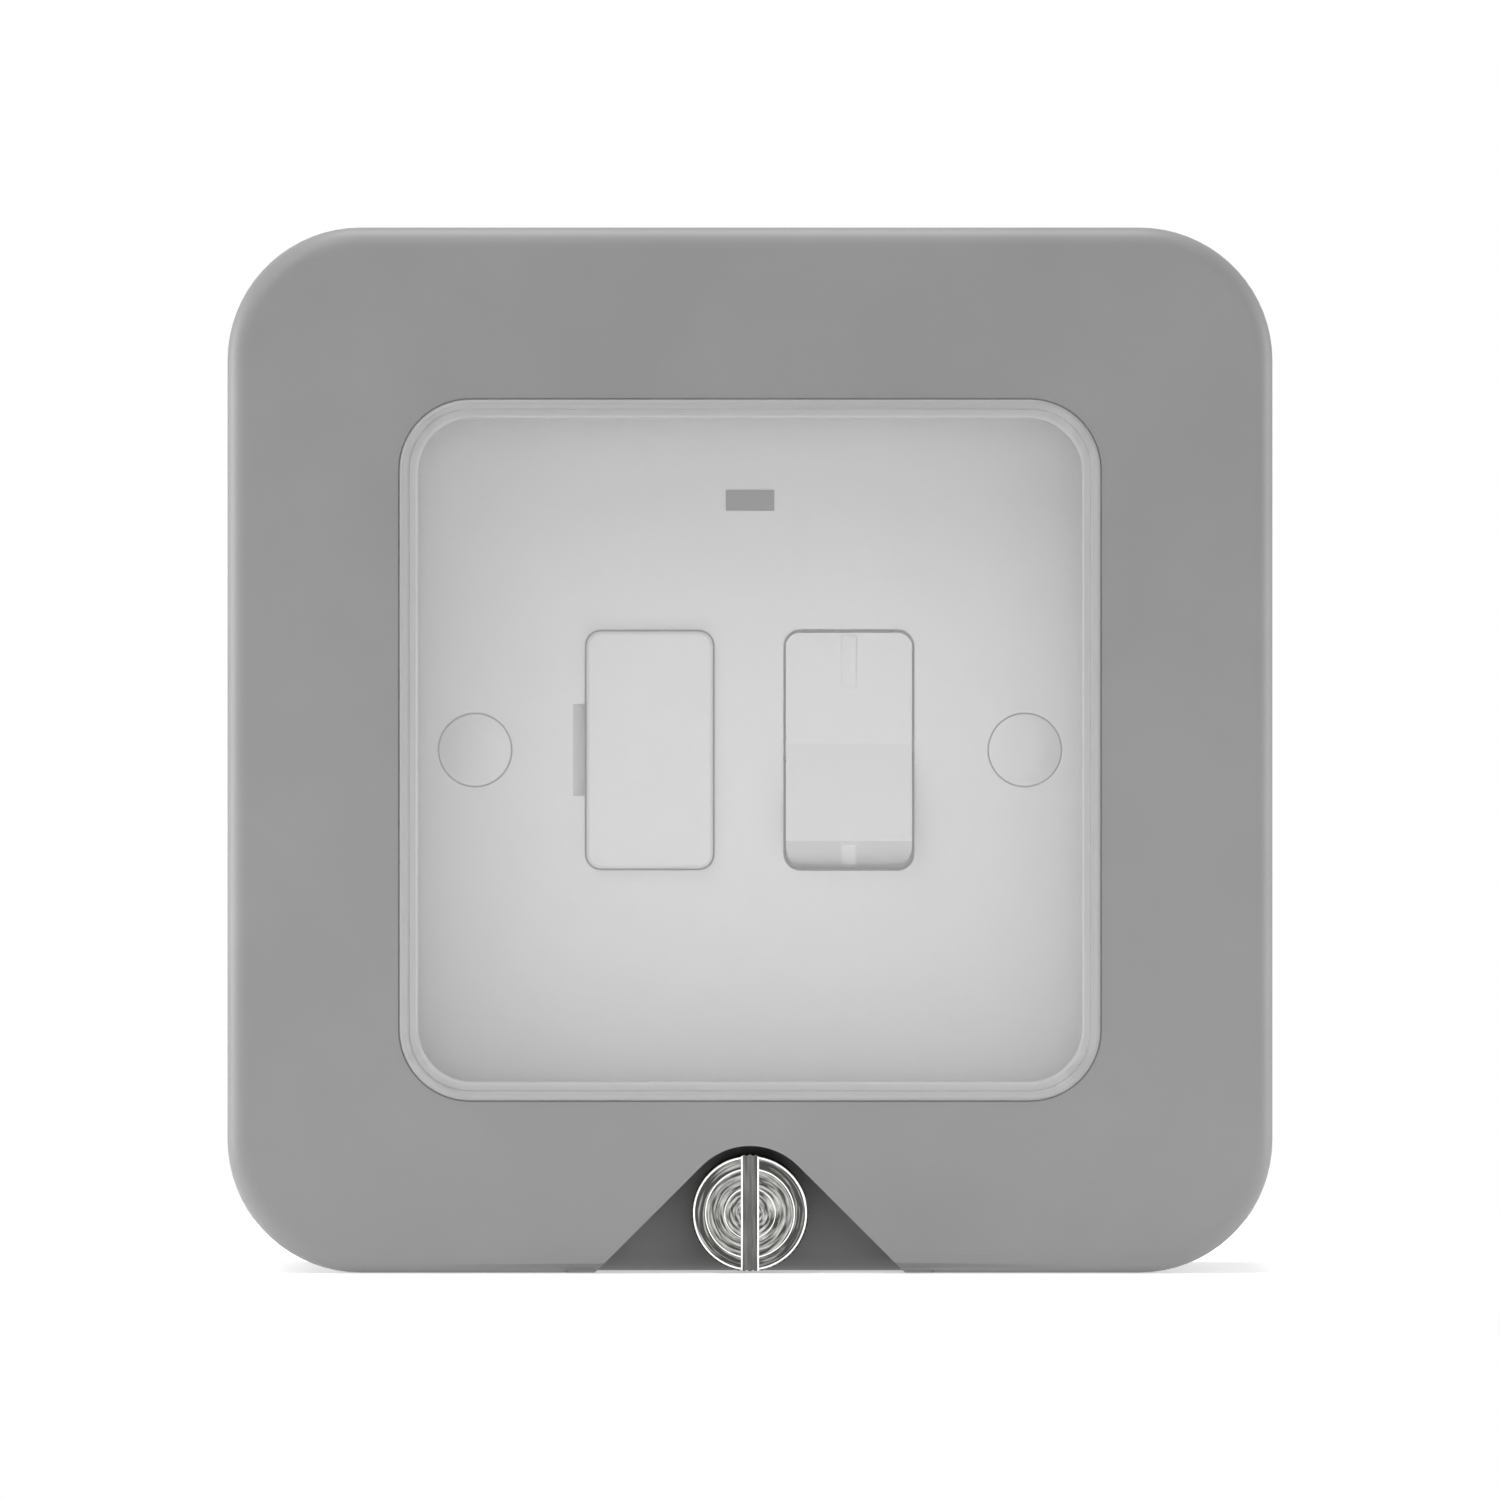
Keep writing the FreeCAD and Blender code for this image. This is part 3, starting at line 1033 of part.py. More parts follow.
def plateScrews():
    """Raised-head machine screws from the plate into the pillars."""
    made = []
    for name, side in (("plate_screw_left", -1), ("plate_screw_right", 1)):
        head = "plateScrewHeadHeight"
        body = turnedFront(name, f"{side} * plateFixing / 2", f"{plateSeat} + {head}", "0", [
            (f"-plateScrewLength - {head}", "0"), (f"-plateScrewLength - {head}", "plateScrewRadius"),
            (f"-{head}", "plateScrewRadius"), (f"-{head}", "plateScrewHead"),
            (f"-{head} / 2", "plateScrewHead"), ("0", "plateScrewCrown"), ("0", "0")])
        slotted(body, "terminalScrewSlot", "3 * plateScrewHead", "plateScrewHeadHeight / 2")
        made.append(body)
    return made


def housingScrews():
    """Self-tapping screws that hold the rear housing to the plate."""
    made = []
    for name, side in (("housing_screw_top", 1), ("housing_screw_bottom", -1)):
        head = "housingScrewHeadHeight"
        under = f"({housingBack} + housingScrewSink)"
        made.append(turnedFront(name, "0", under, f"{side} * housingScrewUp", [
            (f"-{head}", "0"), (f"-{head}", "housingScrewCrown"), (f"-{head} / 2", "housingScrewHead"),
            ("0", "housingScrewHead"), ("0", "housingScrewRadius"),
            ("housingScrewLength", "housingScrewRadius"), ("housingScrewLength", "0")]))
    return made


terminalNames = {(-1, 1): "terminal_live_out", (0, 1): "terminal_earth_out", (1, 1): "terminal_neutral_out",
                 (-1, -1): "terminal_live_in", (0, -1): "terminal_earth_in", (1, -1): "terminal_neutral_in"}


def terminals():
    """Brass terminal blocks, each with a conductor hole and a tapped hole for its clamp screw."""
    made = []
    for (across, up), name in terminalNames.items():
        body = newBody(name, f"{across} * terminalSpacing", f"{housingBack} + terminalInset",
                       f"{up} * terminalUp")
        outline = newSketch(body, "XZ_Plane")
        drawRectangle(outline, "terminalWidth", "terminalHeight")
        pad(outline, "terminalDepth")
        wire = newSketch(body, "XY_Plane", depth="wireHoleDepth")
        drawCircle(wire, "wireHole")
        pocket(wire, "2 * terminalHeight", middle=True)
        tapped = newSketch(body, "XZ_Plane")
        drawCircle(tapped, "terminalScrewRadius + terminalScrewFit")
        pocket(tapped, "wireHoleDepth", reverse=True)
        made.append(body)
    return made


def terminalScrews():
    """Six clamp screws, alike, kept together as separate solids."""
    screws = []
    for across, up in terminalNames:
        body = doc.addObject("PartDesign::Body", "clamp_screw")
        place(body, f"{across} * terminalSpacing", f"{housingBack} + terminalInset + terminalScrewLength",
              f"{up} * terminalUp")
        end = "(terminalScrewLength + terminalInset / 2)"
        turned(body, "YZ_Plane", "H_Axis", [
            ("0", "0"), ("0", "terminalScrewRadius - smallGap"), ("smallGap", "terminalScrewRadius"),
            (end, "terminalScrewRadius"), (end, "0")])
        slot = newSketch(body, "XZ_Plane", depth=f"-{end}")
        drawRectangle(slot, "terminalScrewSlot", "3 * terminalScrewRadius")
        pocket(slot, "terminalScrewRadius / 2", reverse=True)
        screws.append(body)
    group = doc.addObject("Part::Compound", "terminal_screws")
    group.Label = "terminal_screws"
    group.Links = screws
    doc.recompute()
    return group


frontOfPillar = f"({flangeFront} - pillarGap)"
plateMount = "plateFixing / 2"
pillarBore = "(plateScrewRadius + plateScrewFit)"
pieces = [
    baseBox(), lidFrame(), lidSeal(), windowPane(), *hingePins(), thumbscrew(),
    washerAt("thumbscrew_washer", f"{notchFloorFront} + smallGap / 6", "(screwCollarRadius + stubFit)",
             "washerRadius", "washerThickness"),
    washerAt("thumbscrew_retainer", f"{notchFloorBack} - retainerThickness", "(screwNeckRadius + stubFit)",
             "retainerRadius", "retainerThickness"),
    insertAt("lid_screw_insert", "0", f"{flangeFront} - insertInset", screwUp, "insertBore", "insertRadius",
             "insertLength"),
    insertAt("pillar_insert_left", f"-{plateMount}", frontOfPillar, "0", pillarBore, "pillarInsertRadius",
             "pillarInsertLength"),
    insertAt("pillar_insert_right", plateMount, frontOfPillar, "0", pillarBore, "pillarInsertRadius",
             "pillarInsertLength"),
    *blankingPlugs(), frontPlate(), rearHousing(), rocker(), *plungers(), *contactArms(), *fulcrums(),
    *fixedContacts(), fuseCarrier(), *fuse(), *fuseClips(), *neon(), *screwCaps(), *plateScrews(),
    *housingScrews(), *terminals(), terminalScrews(),
]

doc.recompute()
failed = [item.Name for item in doc.Objects if {"Invalid", "Error"} & set(item.State)]
if failed:
    raise ValueError(f"These did not build: {failed}")
for piece in pieces:
    if piece.Shape.isNull() or not piece.Shape.isValid():
        raise ValueError(f"{piece.Label} has no sound solid")

os.makedirs("parts", exist_ok=True)
for piece in pieces:
    piece.Shape.exportStep(f"parts/{piece.Label}.step")
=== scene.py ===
import json
import math
import bpy
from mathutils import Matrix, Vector

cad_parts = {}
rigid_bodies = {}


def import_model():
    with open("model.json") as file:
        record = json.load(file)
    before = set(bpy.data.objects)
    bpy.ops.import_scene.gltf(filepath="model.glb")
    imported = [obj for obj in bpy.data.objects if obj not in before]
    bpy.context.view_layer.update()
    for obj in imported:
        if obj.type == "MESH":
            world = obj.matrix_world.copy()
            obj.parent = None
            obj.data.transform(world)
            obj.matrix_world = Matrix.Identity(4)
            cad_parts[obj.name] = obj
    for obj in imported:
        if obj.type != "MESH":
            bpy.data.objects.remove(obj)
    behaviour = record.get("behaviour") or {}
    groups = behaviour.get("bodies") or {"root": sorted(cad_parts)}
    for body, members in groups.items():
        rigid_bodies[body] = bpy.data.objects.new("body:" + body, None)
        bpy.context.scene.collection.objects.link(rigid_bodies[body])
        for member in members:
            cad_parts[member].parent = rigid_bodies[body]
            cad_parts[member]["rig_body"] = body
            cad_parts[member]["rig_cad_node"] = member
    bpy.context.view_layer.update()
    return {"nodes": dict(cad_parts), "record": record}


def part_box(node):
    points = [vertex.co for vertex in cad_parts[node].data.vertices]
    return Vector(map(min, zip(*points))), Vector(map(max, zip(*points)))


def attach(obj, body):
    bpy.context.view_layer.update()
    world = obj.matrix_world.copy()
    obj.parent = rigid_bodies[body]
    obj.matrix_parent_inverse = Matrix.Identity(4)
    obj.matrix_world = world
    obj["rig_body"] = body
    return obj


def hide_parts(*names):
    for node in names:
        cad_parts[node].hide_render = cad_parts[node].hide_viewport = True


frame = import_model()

# Weatherproof fused spur unit: grey box and lid, clear window, switched fused plate behind it.
# +Z is up, the front looks along -Y, and the wall is at Y = 0. Lengths below are in millimetres.
mm = 0.001
nodes = frame["nodes"]


def linearColour(text):
    # "#rrggbb" as seen on screen, turned to the linear values that shaders use
    parts = [int(text[place:place + 2], 16) / 255 for place in (1, 3, 5)]
    return [part / 12.92 if part <= 0.04045 else ((part + 0.055) / 1.055) ** 2.4 for part in parts] + [1.0]


def addNode(material, kind, values=None, links=None, **settings):
    # One shader node, with its settings, fixed values and incoming links
    node = material.node_tree.nodes.new(kind)
    for name, setting in settings.items():
        setattr(node, name, setting)
    for socket, number in (values or {}).items():
        node.inputs[socket].default_value = number
    for socket, source in (links or {}).items():
        material.node_tree.links.new(source, node.inputs[socket])
    return node


def startMaterial(name):
    material = bpy.data.materials.new(name)
    material.use_nodes = True
    material.node_tree.nodes.clear()
    return material


def finishMaterial(material, shader):
    addNode(material, "ShaderNodeOutputMaterial", links={"Surface": shader.outputs[0]})
    return material


def blendTones(material, pattern, span, darker, lighter):
    # Two tones that follow a pattern: the darker below the span of its values, the lighter above it
    tone = addNode(material, "ShaderNodeValToRGB", links={"Fac": pattern})
    for stop, place, colour in zip(tone.color_ramp.elements, span, (darker, lighter)):
        stop.position = place
        stop.color = linearColour(colour)
    return tone


def mouldedPlastic(name, colour, darker, roughness, grain, depth, coat=0.0, alpha=1.0):
    # Moulded plastic: a faint cloudiness from the melt and the tool's spark-eroded grain as bump
    material = startMaterial(name)
    place = addNode(material, "ShaderNodeTexCoord")
    cloud = addNode(material, "ShaderNodeTexNoise", {"Scale": 1 / (18 * mm), "Detail": 3.0},
                    {"Vector": place.outputs["Object"]})
    tone = blendTones(material, cloud.outputs["Fac"], (0.3, 0.7), darker, colour)
    spark = addNode(material, "ShaderNodeTexNoise", {"Scale": 1 / (grain * mm), "Detail": 4.0},
                    {"Vector": place.outputs["Object"]})
    bump = addNode(material, "ShaderNodeBump", {"Strength": 0.35, "Distance": depth * mm},
                   {"Height": spark.outputs["Fac"]})
    shader = addNode(material, "ShaderNodeBsdfPrincipled",
                     {"Roughness": roughness, "IOR": 1.54, "Coat Weight": coat, "Alpha": alpha},
                     {"Base Color": tone.outputs["Color"], "Normal": bump.outputs["Normal"]})
    return finishMaterial(material, shader)


def workedMetal(name, colour, darker, roughness, streak, depth):
    # Drawn or pressed metal: fine streaks along its length and a little tarnish
    material = startMaterial(name)
    place = addNode(material, "ShaderNodeTexCoord")
    along = addNode(material, "ShaderNodeMapping", {"Scale": (1.0, 1.0, 0.08)},
                    {"Vector": place.outputs["Object"]})
    streaks = addNode(material, "ShaderNodeTexNoise", {"Scale": 1 / (streak * mm), "Detail": 5.0},
                      {"Vector": along.outputs["Vector"]})
    tone = blendTones(material, streaks.outputs["Fac"], (0.25, 0.75), darker, colour)
    bump = addNode(material, "ShaderNodeBump", {"Strength": 0.3, "Distance": depth * mm},
                   {"Height": streaks.outputs["Fac"]})
    shader = addNode(material, "ShaderNodeBsdfPrincipled", {"Roughness": roughness, "Metallic": 1.0},
                     {"Base Color": tone.outputs["Color"], "Normal": bump.outputs["Normal"]})
    return finishMaterial(material, shader)


def clearPlastic(name, look):
    # Clear moulding with a haze all over, and matt along the rim
    material = startMaterial(name)
    place = addNode(material, "ShaderNodeTexCoord")
    sides = addNode(material, "ShaderNodeVectorMath", links={0: place.outputs["Object"]},
                    operation="ABSOLUTE")
    past = addNode(material, "ShaderNodeVectorMath", {1: [part * mm for part in look["rimStart"]]},
                   {0: sides.outputs["Vector"]}, operation="SUBTRACT")
    kept = addNode(material, "ShaderNodeVectorMath", {1: (0.0, 0.0, 0.0)}, {0: past.outputs["Vector"]},
                   operation="MAXIMUM")
    reach = addNode(material, "ShaderNodeVectorMath", links={0: kept.outputs["Vector"]}, operation="LENGTH")
    cover = addNode(material, "ShaderNodeMapRange", {
        "From Min": look["rimCorner"] * mm, "From Max": (look["rimCorner"] + look["rimFade"]) * mm,
        "To Min": look["haze"], "To Max": look["rimCover"]}, {"Value": reach.outputs["Value"]})
    path = addNode(material, "ShaderNodeLightPath")
    indirect = addNode(material, "ShaderNodeMath", links={0: path.outputs["Is Shadow Ray"],
                                                          1: path.outputs["Is Diffuse Ray"]},
                       operation="MAXIMUM")
    passing = addNode(material, "ShaderNodeMath", {1: look["shadow"] - 1, 2: 1.0},
                      {0: indirect.outputs["Value"]}, operation="MULTIPLY_ADD")
    shown = addNode(material, "ShaderNodeMath", operation="MULTIPLY",
                    links={0: cover.outputs["Result"], 1: passing.outputs["Value"]})
    flow = addNode(material, "ShaderNodeTexNoise", {"Scale": 1 / (look["flow"] * mm), "Detail": 2.0},
                   {"Vector": place.outputs["Object"]})
    bump = addNode(material, "ShaderNodeBump", {"Strength": 0.2, "Distance": look["flowDepth"] * mm},
                   {"Height": flow.outputs["Fac"]})
    shader = addNode(material, "ShaderNodeBsdfPrincipled", {
        "Base Color": linearColour(look["colour"]), "Roughness": look["roughness"], "IOR": 1.58},
        {"Alpha": shown.outputs["Value"], "Normal": bump.outputs["Normal"]})
    return finishMaterial(material, shader)


windowFinish = {
    "haze": 0.28,
    "rimStart": (30.25, 1000.0, 30.25),    # centres of the rim's corners; the depth plays no part
    "rimCorner": 5.8,       # radius at which the matt rim begins
    "rimFade": 0.3,
    "rimCover": 0.64,
    "shadow": 0.12,         # part of the cover that shadows have, as clear plastic lets most light through
    "flow": 14.0,
    "flowDepth": 0.02,
    "colour": "#b8b8b8",
    "roughness": 0.25,
}
screwHeight = -50.55        # of the thumbscrew's axis
screwFinish = {
    "ringPitch": 0.26,      # tool feed; the real one is finer and would not show
    "arcs": 1.3,            # how often a ring's painted sheen changes tone on the way round, for each radian
    "ringDepth": 0.03,
    "darkerBeyond": 4.8,        # beyond this radius the face is darker
    "outerDarkening": -0.1,
    # bright and dark are the two ends of the rings' painted sheen
    "bright": "#b0b0ad",
    "dark": "#3e3e3c",
    "roughness": 0.34,
}


def turnedNickel(name, finish):
    # Turned brass under dull nickel: rings round the screw's axis, bumped as the tool left them
    # Their bright and dark arcs are painted sheen for the turned face's reflections
    material = startMaterial(name)
    place = addNode(material, "ShaderNodeTexCoord")
    centred = addNode(material, "ShaderNodeMapping", {"Location": (0.0, 0.0, -screwHeight * mm)},
                      {"Vector": place.outputs["Object"]})
    flat = addNode(material, "ShaderNodeVectorMath", {1: (1.0, 0.0, 1.0)}, {0: centred.outputs["Vector"]},
                   operation="MULTIPLY")
    reach = addNode(material, "ShaderNodeVectorMath", links={0: flat.outputs["Vector"]}, operation="LENGTH")
    parts = addNode(material, "ShaderNodeSeparateXYZ", links={0: centred.outputs["Vector"]})
    turn = addNode(material, "ShaderNodeMath", links={0: parts.outputs["X"], 1: parts.outputs["Z"]},
                   operation="ARCTAN2")
    feed = addNode(material, "ShaderNodeMath", {1: 1 / (finish["ringPitch"] * mm)},
                   {0: reach.outputs["Value"]}, operation="MULTIPLY")
    along = addNode(material, "ShaderNodeMath", {1: finish["arcs"]}, {0: turn.outputs["Value"]},
                    operation="MULTIPLY")
    rounds = addNode(material, "ShaderNodeCombineXYZ", links={"X": feed.outputs["Value"],
                                                              "Y": along.outputs["Value"]})
    rings = addNode(material, "ShaderNodeTexNoise", {"Scale": 1.0, "Detail": 3.0},
                    {"Vector": rounds.outputs["Vector"]})
    outer = addNode(material, "ShaderNodeMath", {1: finish["darkerBeyond"] * mm}, {0: reach.outputs["Value"]},
                    operation="GREATER_THAN")
    paintedRingSheen = addNode(material, "ShaderNodeMath", {1: finish["outerDarkening"]},
                   {0: outer.outputs["Value"], 2: rings.outputs["Fac"]}, operation="MULTIPLY_ADD")
    # The ring tones are painted sheen, darker beyond the outer radius
    tone = blendTones(material, paintedRingSheen.outputs["Value"], (0.4, 0.66), finish["dark"], finish["bright"])
    bump = addNode(material, "ShaderNodeBump", {"Strength": 0.6, "Distance": finish["ringDepth"] * mm},
                   {"Height": rings.outputs["Fac"]})
    shader = addNode(material, "ShaderNodeBsdfPrincipled",
                     {"Roughness": finish["roughness"], "Metallic": 1.0},
                     {"Base Color": tone.outputs["Color"], "Normal": bump.outputs["Normal"]})
    return finishMaterial(material, shader)


# One finish for each material slot of the record: its colour and a darker tone, roughness, then the size
# of the grain or streaks and their depth
finishes = {
    "enclosure_abs": mouldedPlastic("Satin moulded ABS", "#818181", "#7c7c7c", 0.5, 0.35, 0.02),
    "window_clear": clearPlastic("Hazy clear polycarbonate", windowFinish),
    "seal_rubber": mouldedPlastic("Black EPDM rubber", "#1c1c1c", "#161616", 0.75, 0.4, 0.03),
    "plate_urea": mouldedPlastic("Glossy moulded urea", "#d7d7d7", "#d4d4d4", 0.3, 1.2, 0.002, coat=0.15),
    "housing_thermoset": mouldedPlastic("Moulded thermoset", "#bdbdbb", "#b2b2b0", 0.5, 0.5, 0.02),
    "plunger_nylon": mouldedPlastic("Natural nylon", "#e0dfda", "#d7d6d0", 0.4, 0.8, 0.01),
    "nickel_plate": turnedNickel("Nickel plated turned brass", screwFinish),
    "zinc_steel": workedMetal("Zinc plated steel", "#bcbdc0", "#8f9093", 0.35, 0.6, 0.01),
    "brass": workedMetal("Drawn brass", "#c9a45c", "#a07c3c", 0.3, 0.5, 0.01),
    "fuse_ceramic": mouldedPlastic("Unglazed ceramic", "#d9d5ca", "#cbc6b9", 0.8, 0.3, 0.02),
    "neon_lens": mouldedPlastic("Translucent lens", "#1e1e1e", "#1a1a1a", 0.35, 1.0, 0.01),
    "lamp_glass": mouldedPlastic("Lamp glass", "#e4e6e6", "#dfe2e2", 0.05, 2.0, 0.005, alpha=0.35),
    "resistor_lacquer": mouldedPlastic("Lacquered body", "#b49a72", "#a68c64", 0.35, 0.9, 0.01),
}
for part in frame["record"]["subparts"]:
    mesh = nodes[part["node"]].data
    mesh.materials.clear()
    mesh.materials.append(finishes[part["material_slot"]])

bodyOf = {node: body for body, members in frame["record"]["behaviour"]["bodies"].items() for node in members}


def dress(piece, node):
    # The piece stands for a node: same body, same finish, and the node itself is hidden
    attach(piece, bodyOf[node])
    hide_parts(node)
    return piece


joinWithin = 0.002      # corners closer than this become one
flatWithin = 0.1        # degrees between the thin triangles that become one flat face


def smoothCopy(node, name, bend):
    # A copy of a node with its corners joined, so that its curves shade smoothly
    bpy.ops.object.select_all(action="DESELECT")
    nodes[node].select_set(True)
    bpy.context.view_layer.objects.active = nodes[node]
    bpy.ops.object.duplicate()
    piece = bpy.context.object
    piece.name = name
    piece.parent = None
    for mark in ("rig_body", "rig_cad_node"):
        del piece[mark]
    bpy.ops.object.mode_set(mode="EDIT")
    bpy.ops.mesh.select_all(action="SELECT")
    bpy.ops.mesh.remove_doubles(threshold=joinWithin * mm)
    bpy.ops.mesh.dissolve_limited(angle_limit=math.radians(flatWithin))
    bpy.ops.object.mode_set(mode="OBJECT")
    bpy.ops.object.shade_smooth_by_angle(angle=math.radians(bend))
    bpy.ops.object.modifier_add(type="WEIGHTED_NORMAL")    # keeps faces flat beside their round edges
    piece.modifiers[-1].keep_sharp = True
    bpy.ops.object.modifier_apply(modifier=piece.modifiers[-1].name)
    return dress(piece, node)


# Nodes whose curves show, each with the sharpest bend in degrees that still shades as one surface.
# It is lower where shallow cuts meet the curves and would otherwise shade as part of them.
smoothNodes = {
    "base_box": 12, "lid_frame": 12, "window": 30, "front_plate": 12, "rocker": 25, "fuse_carrier": 30,
    "neon_lens": 20, "blanking_plug_top": 30, "blanking_plug_left": 30, "blanking_plug_right": 30,
    "fuse_body": 30, "fuse_cap_top": 30, "fuse_cap_bottom": 30,
}
dressed = {node: smoothCopy(node, node + "_look", bend) for node, bend in smoothNodes.items()}
print("Smooth pieces:", len(dressed))


def turnSteps(name, place, steps, sides):
    # A turned piece about a front-to-back axis: a disc, then extruded, resized and moved for each
    # (depth, radius) of the steps, where depth runs from the wall towards the front
    across, up = place
    firstDepth, firstRadius = steps[0]
    bpy.ops.object.select_all(action="DESELECT")
    bpy.ops.mesh.primitive_circle_add(vertices=sides, radius=firstRadius * mm, fill_type="NGON",
                                      location=(across * mm, -firstDepth * mm, up * mm),
                                      rotation=(math.radians(90), 0.0, 0.0))
    piece = bpy.context.object
    piece.name = name
    bpy.ops.object.transform_apply(location=True, rotation=True, scale=True)
    bpy.ops.object.mode_set(mode="EDIT")
    bpy.ops.mesh.select_all(action="SELECT")
    depth, radius = firstDepth, firstRadius
    for nextDepth, nextRadius in steps[1:]:
        forward = (0.0, -(nextDepth - depth) * mm, 0.0)
        bpy.ops.mesh.extrude_region_move(TRANSFORM_OT_translate={"value": forward})
        ratio = nextRadius / radius
        bpy.ops.transform.resize(value=(ratio, 1.0, ratio), center_override=(across * mm, 0.0, up * mm))
        depth, radius = nextDepth, nextRadius
    bpy.ops.mesh.select_all(action="SELECT")
    bpy.ops.mesh.normals_make_consistent(inside=False)
    bpy.ops.object.mode_set(mode="OBJECT")
    return piece


def finishSmooth(piece, bend):
    bpy.ops.object.select_all(action="DESELECT")
    piece.select_set(True)
    bpy.context.view_layer.objects.active = piece
    bpy.ops.object.shade_smooth_by_angle(angle=math.radians(bend))
    return piece


def boxCut(piece, size, place, finish):
    # Takes a box out of a piece, and the faces that the box leaves have their own finish
    bpy.ops.object.select_all(action="DESELECT")
    bpy.ops.mesh.primitive_cube_add(size=1.0, location=[part * mm for part in place],
                                    scale=[part * mm for part in size])
    cutter = bpy.context.object
    cutter.data.materials.append(finish)
    bpy.context.view_layer.objects.active = piece
    piece.select_set(True)
    bpy.ops.object.modifier_add(type="BOOLEAN")
    piece.modifiers[-1].object = cutter
    piece.modifiers[-1].operation = "DIFFERENCE"
    piece.modifiers[-1].solver = "EXACT"
    piece.modifiers[-1].material_mode = "TRANSFER"
    bpy.ops.object.modifier_apply(modifier=piece.modifiers[-1].name)
    bpy.data.objects.remove(cutter)
    return piece


screwLook = {
    "headRadius": 6.4,
    "headLength": 9.4,
    "chamfer": 0.12,
    "teeth": 60,             # straight knurl round the rim
    "toothDepth": 0.16,
    "slotWidth": 1.6,
    "slotDepth": 2.2,
    "slotHighlight": (1.96, 0.08),    # width and depth of the painted highlight along the slot's edges
    "highlightRings": ((6.2, 6.02), (4.9, 4.78), (2.8, 2.72)),    # outer and inner radii of the painted highlight rings
    "ringTolerance": 0.01,   # how close a face's radii come to a ring's to be part of it
    "collarRadius": 2.45,
    "collarLength": 1.6,
    "shaftRadius": 2.05,
    "shaftLength": 3.8,      # from the head to the neck, with the collar
    "neckRadius": 1.65,
    "neckLength": 7.7,
    "tipBevel": 0.3,
    "bend": 25,              # sharpest bend in degrees that shades as one surface, in the pieces below too
}


def makeThumbscrew(look):
    low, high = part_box("thumbscrew")
    front, tip = -low.y / mm, -high.y / mm
    back = front - look["headLength"]
    radius, chamfer = look["headRadius"], look["chamfer"]
    shaft, neck, collar = look["shaftRadius"], look["neckRadius"], look["collarRadius"]
    bevel = look["tipBevel"]
    neckStart = back - look["shaftLength"]
    neckEnd = neckStart - look["neckLength"]
    collarEnd = back - look["collarLength"]
    steps = [(tip, shaft - bevel), (tip + bevel, shaft), (neckEnd, shaft), (neckEnd, neck), (neckStart, neck),
             (neckStart, shaft), (collarEnd, shaft), (collarEnd, collar), (back, collar),
             (back, radius - chamfer), (back + chamfer, radius), (front - chamfer, radius),
             (front, radius - chamfer)]
    for outer, inner in look["highlightRings"]:
        steps += [(front, outer), (front, inner)]
    piece = turnSteps("thumbscrew_head", (0.0, screwHeight), steps, 2 * look["teeth"])
    # Painted highlight: a pale metal on the rings and the slot's edges, where light would catch them
    bright = workedMetal("Painted highlight edge", "#f2f2f0", "#dcdcd8", 0.3, 0.8, 0.005)
    piece.data.materials.append(finishes["nickel_plate"])
    piece.data.materials.append(bright)
    places = [(vertex.co.x / mm, vertex.co.z / mm - screwHeight) for vertex in piece.data.vertices]
    for face in piece.data.polygons:
        reach = [math.hypot(*places[number]) for number in face.vertices]
        highlighted = any(max(abs(max(reach) - outer), abs(min(reach) - inner)) < look["ringTolerance"]
                     for outer, inner in look["highlightRings"])
        face.material_index = int(highlighted)
    shrink = 1 - look["toothDepth"] / radius
    for vertex, (across, up) in zip(piece.data.vertices, places):
        turn = round(math.atan2(up, across) / math.pi * look["teeth"])
        if math.hypot(across, up) > radius - chamfer / 2 and turn % 2:
            vertex.co.x *= shrink
            vertex.co.z = (screwHeight + up * shrink) * mm
    highlightWidth, highlightDepth = look["slotHighlight"]
    middle = (0.0, -front, screwHeight)
    # Rougher milled finish whose darker tone is painted shade in the slot
    slotShade = workedMetal("Milled slot with painted shade", "#8c8c8a", "#585856", 0.45, 0.3, 0.02)
    boxCut(piece, (highlightWidth, 2 * highlightDepth, 3 * radius), middle, bright)
    boxCut(piece, (look["slotWidth"], 2 * look["slotDepth"], 3 * radius), middle, slotShade)
    finishSmooth(piece, look["bend"])
    return dress(piece, "thumbscrew")


makeThumbscrew(screwLook)
print("Thumbscrew done")

capLook = {
    "radius": 3.98,
    "edge": 0.16,            # the worn edge makes the fine circle round a cap
    "sides": 96,
    "bend": 40,
}
for node in ("screw_cap_left", "screw_cap_right"):
    low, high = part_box(node)
    middle = ((low.x + high.x) / 2 / mm, (low.z + high.z) / 2 / mm)
    front, back = -low.y / mm, -high.y / mm
    cap = turnSteps(node + "_look", middle,
                    [(back, capLook["radius"]), (front - capLook["edge"], capLook["radius"]),
                     (front - capLook["edge"] / 3, capLook["radius"] - capLook["edge"] / 3),
                     (front, capLook["radius"] - capLook["edge"])], capLook["sides"])
    finishSmooth(cap, capLook["bend"])
    cap.data.materials.append(finishes["plate_urea"])
    dress(cap, node)
print("Screw caps done")

barLook = {
    "across": 10.85,
    "width": 1.6,
    "raised": 0.16,
    "pivotDepth": 42.0,
    "faceDepth": 47.4,       # the flat upper half of the rocker at rest
    "top": (6.81, 12.48),    # lowest and highest point of the upper bar
    "endRadius": 12.95,      # the rocker's round end
    "bottom": (-12.5, -10.4),
    "edge": 0.06,
    "lipWidth": 13.7,        # the lip carries the flat upper half past the round end
    "lip": (11.4, 12.85),
    "lipDrop": 0.01,
    "lipThickness": 1.2,
    "lipCorner": 1.44,
    "bend": 40,
}


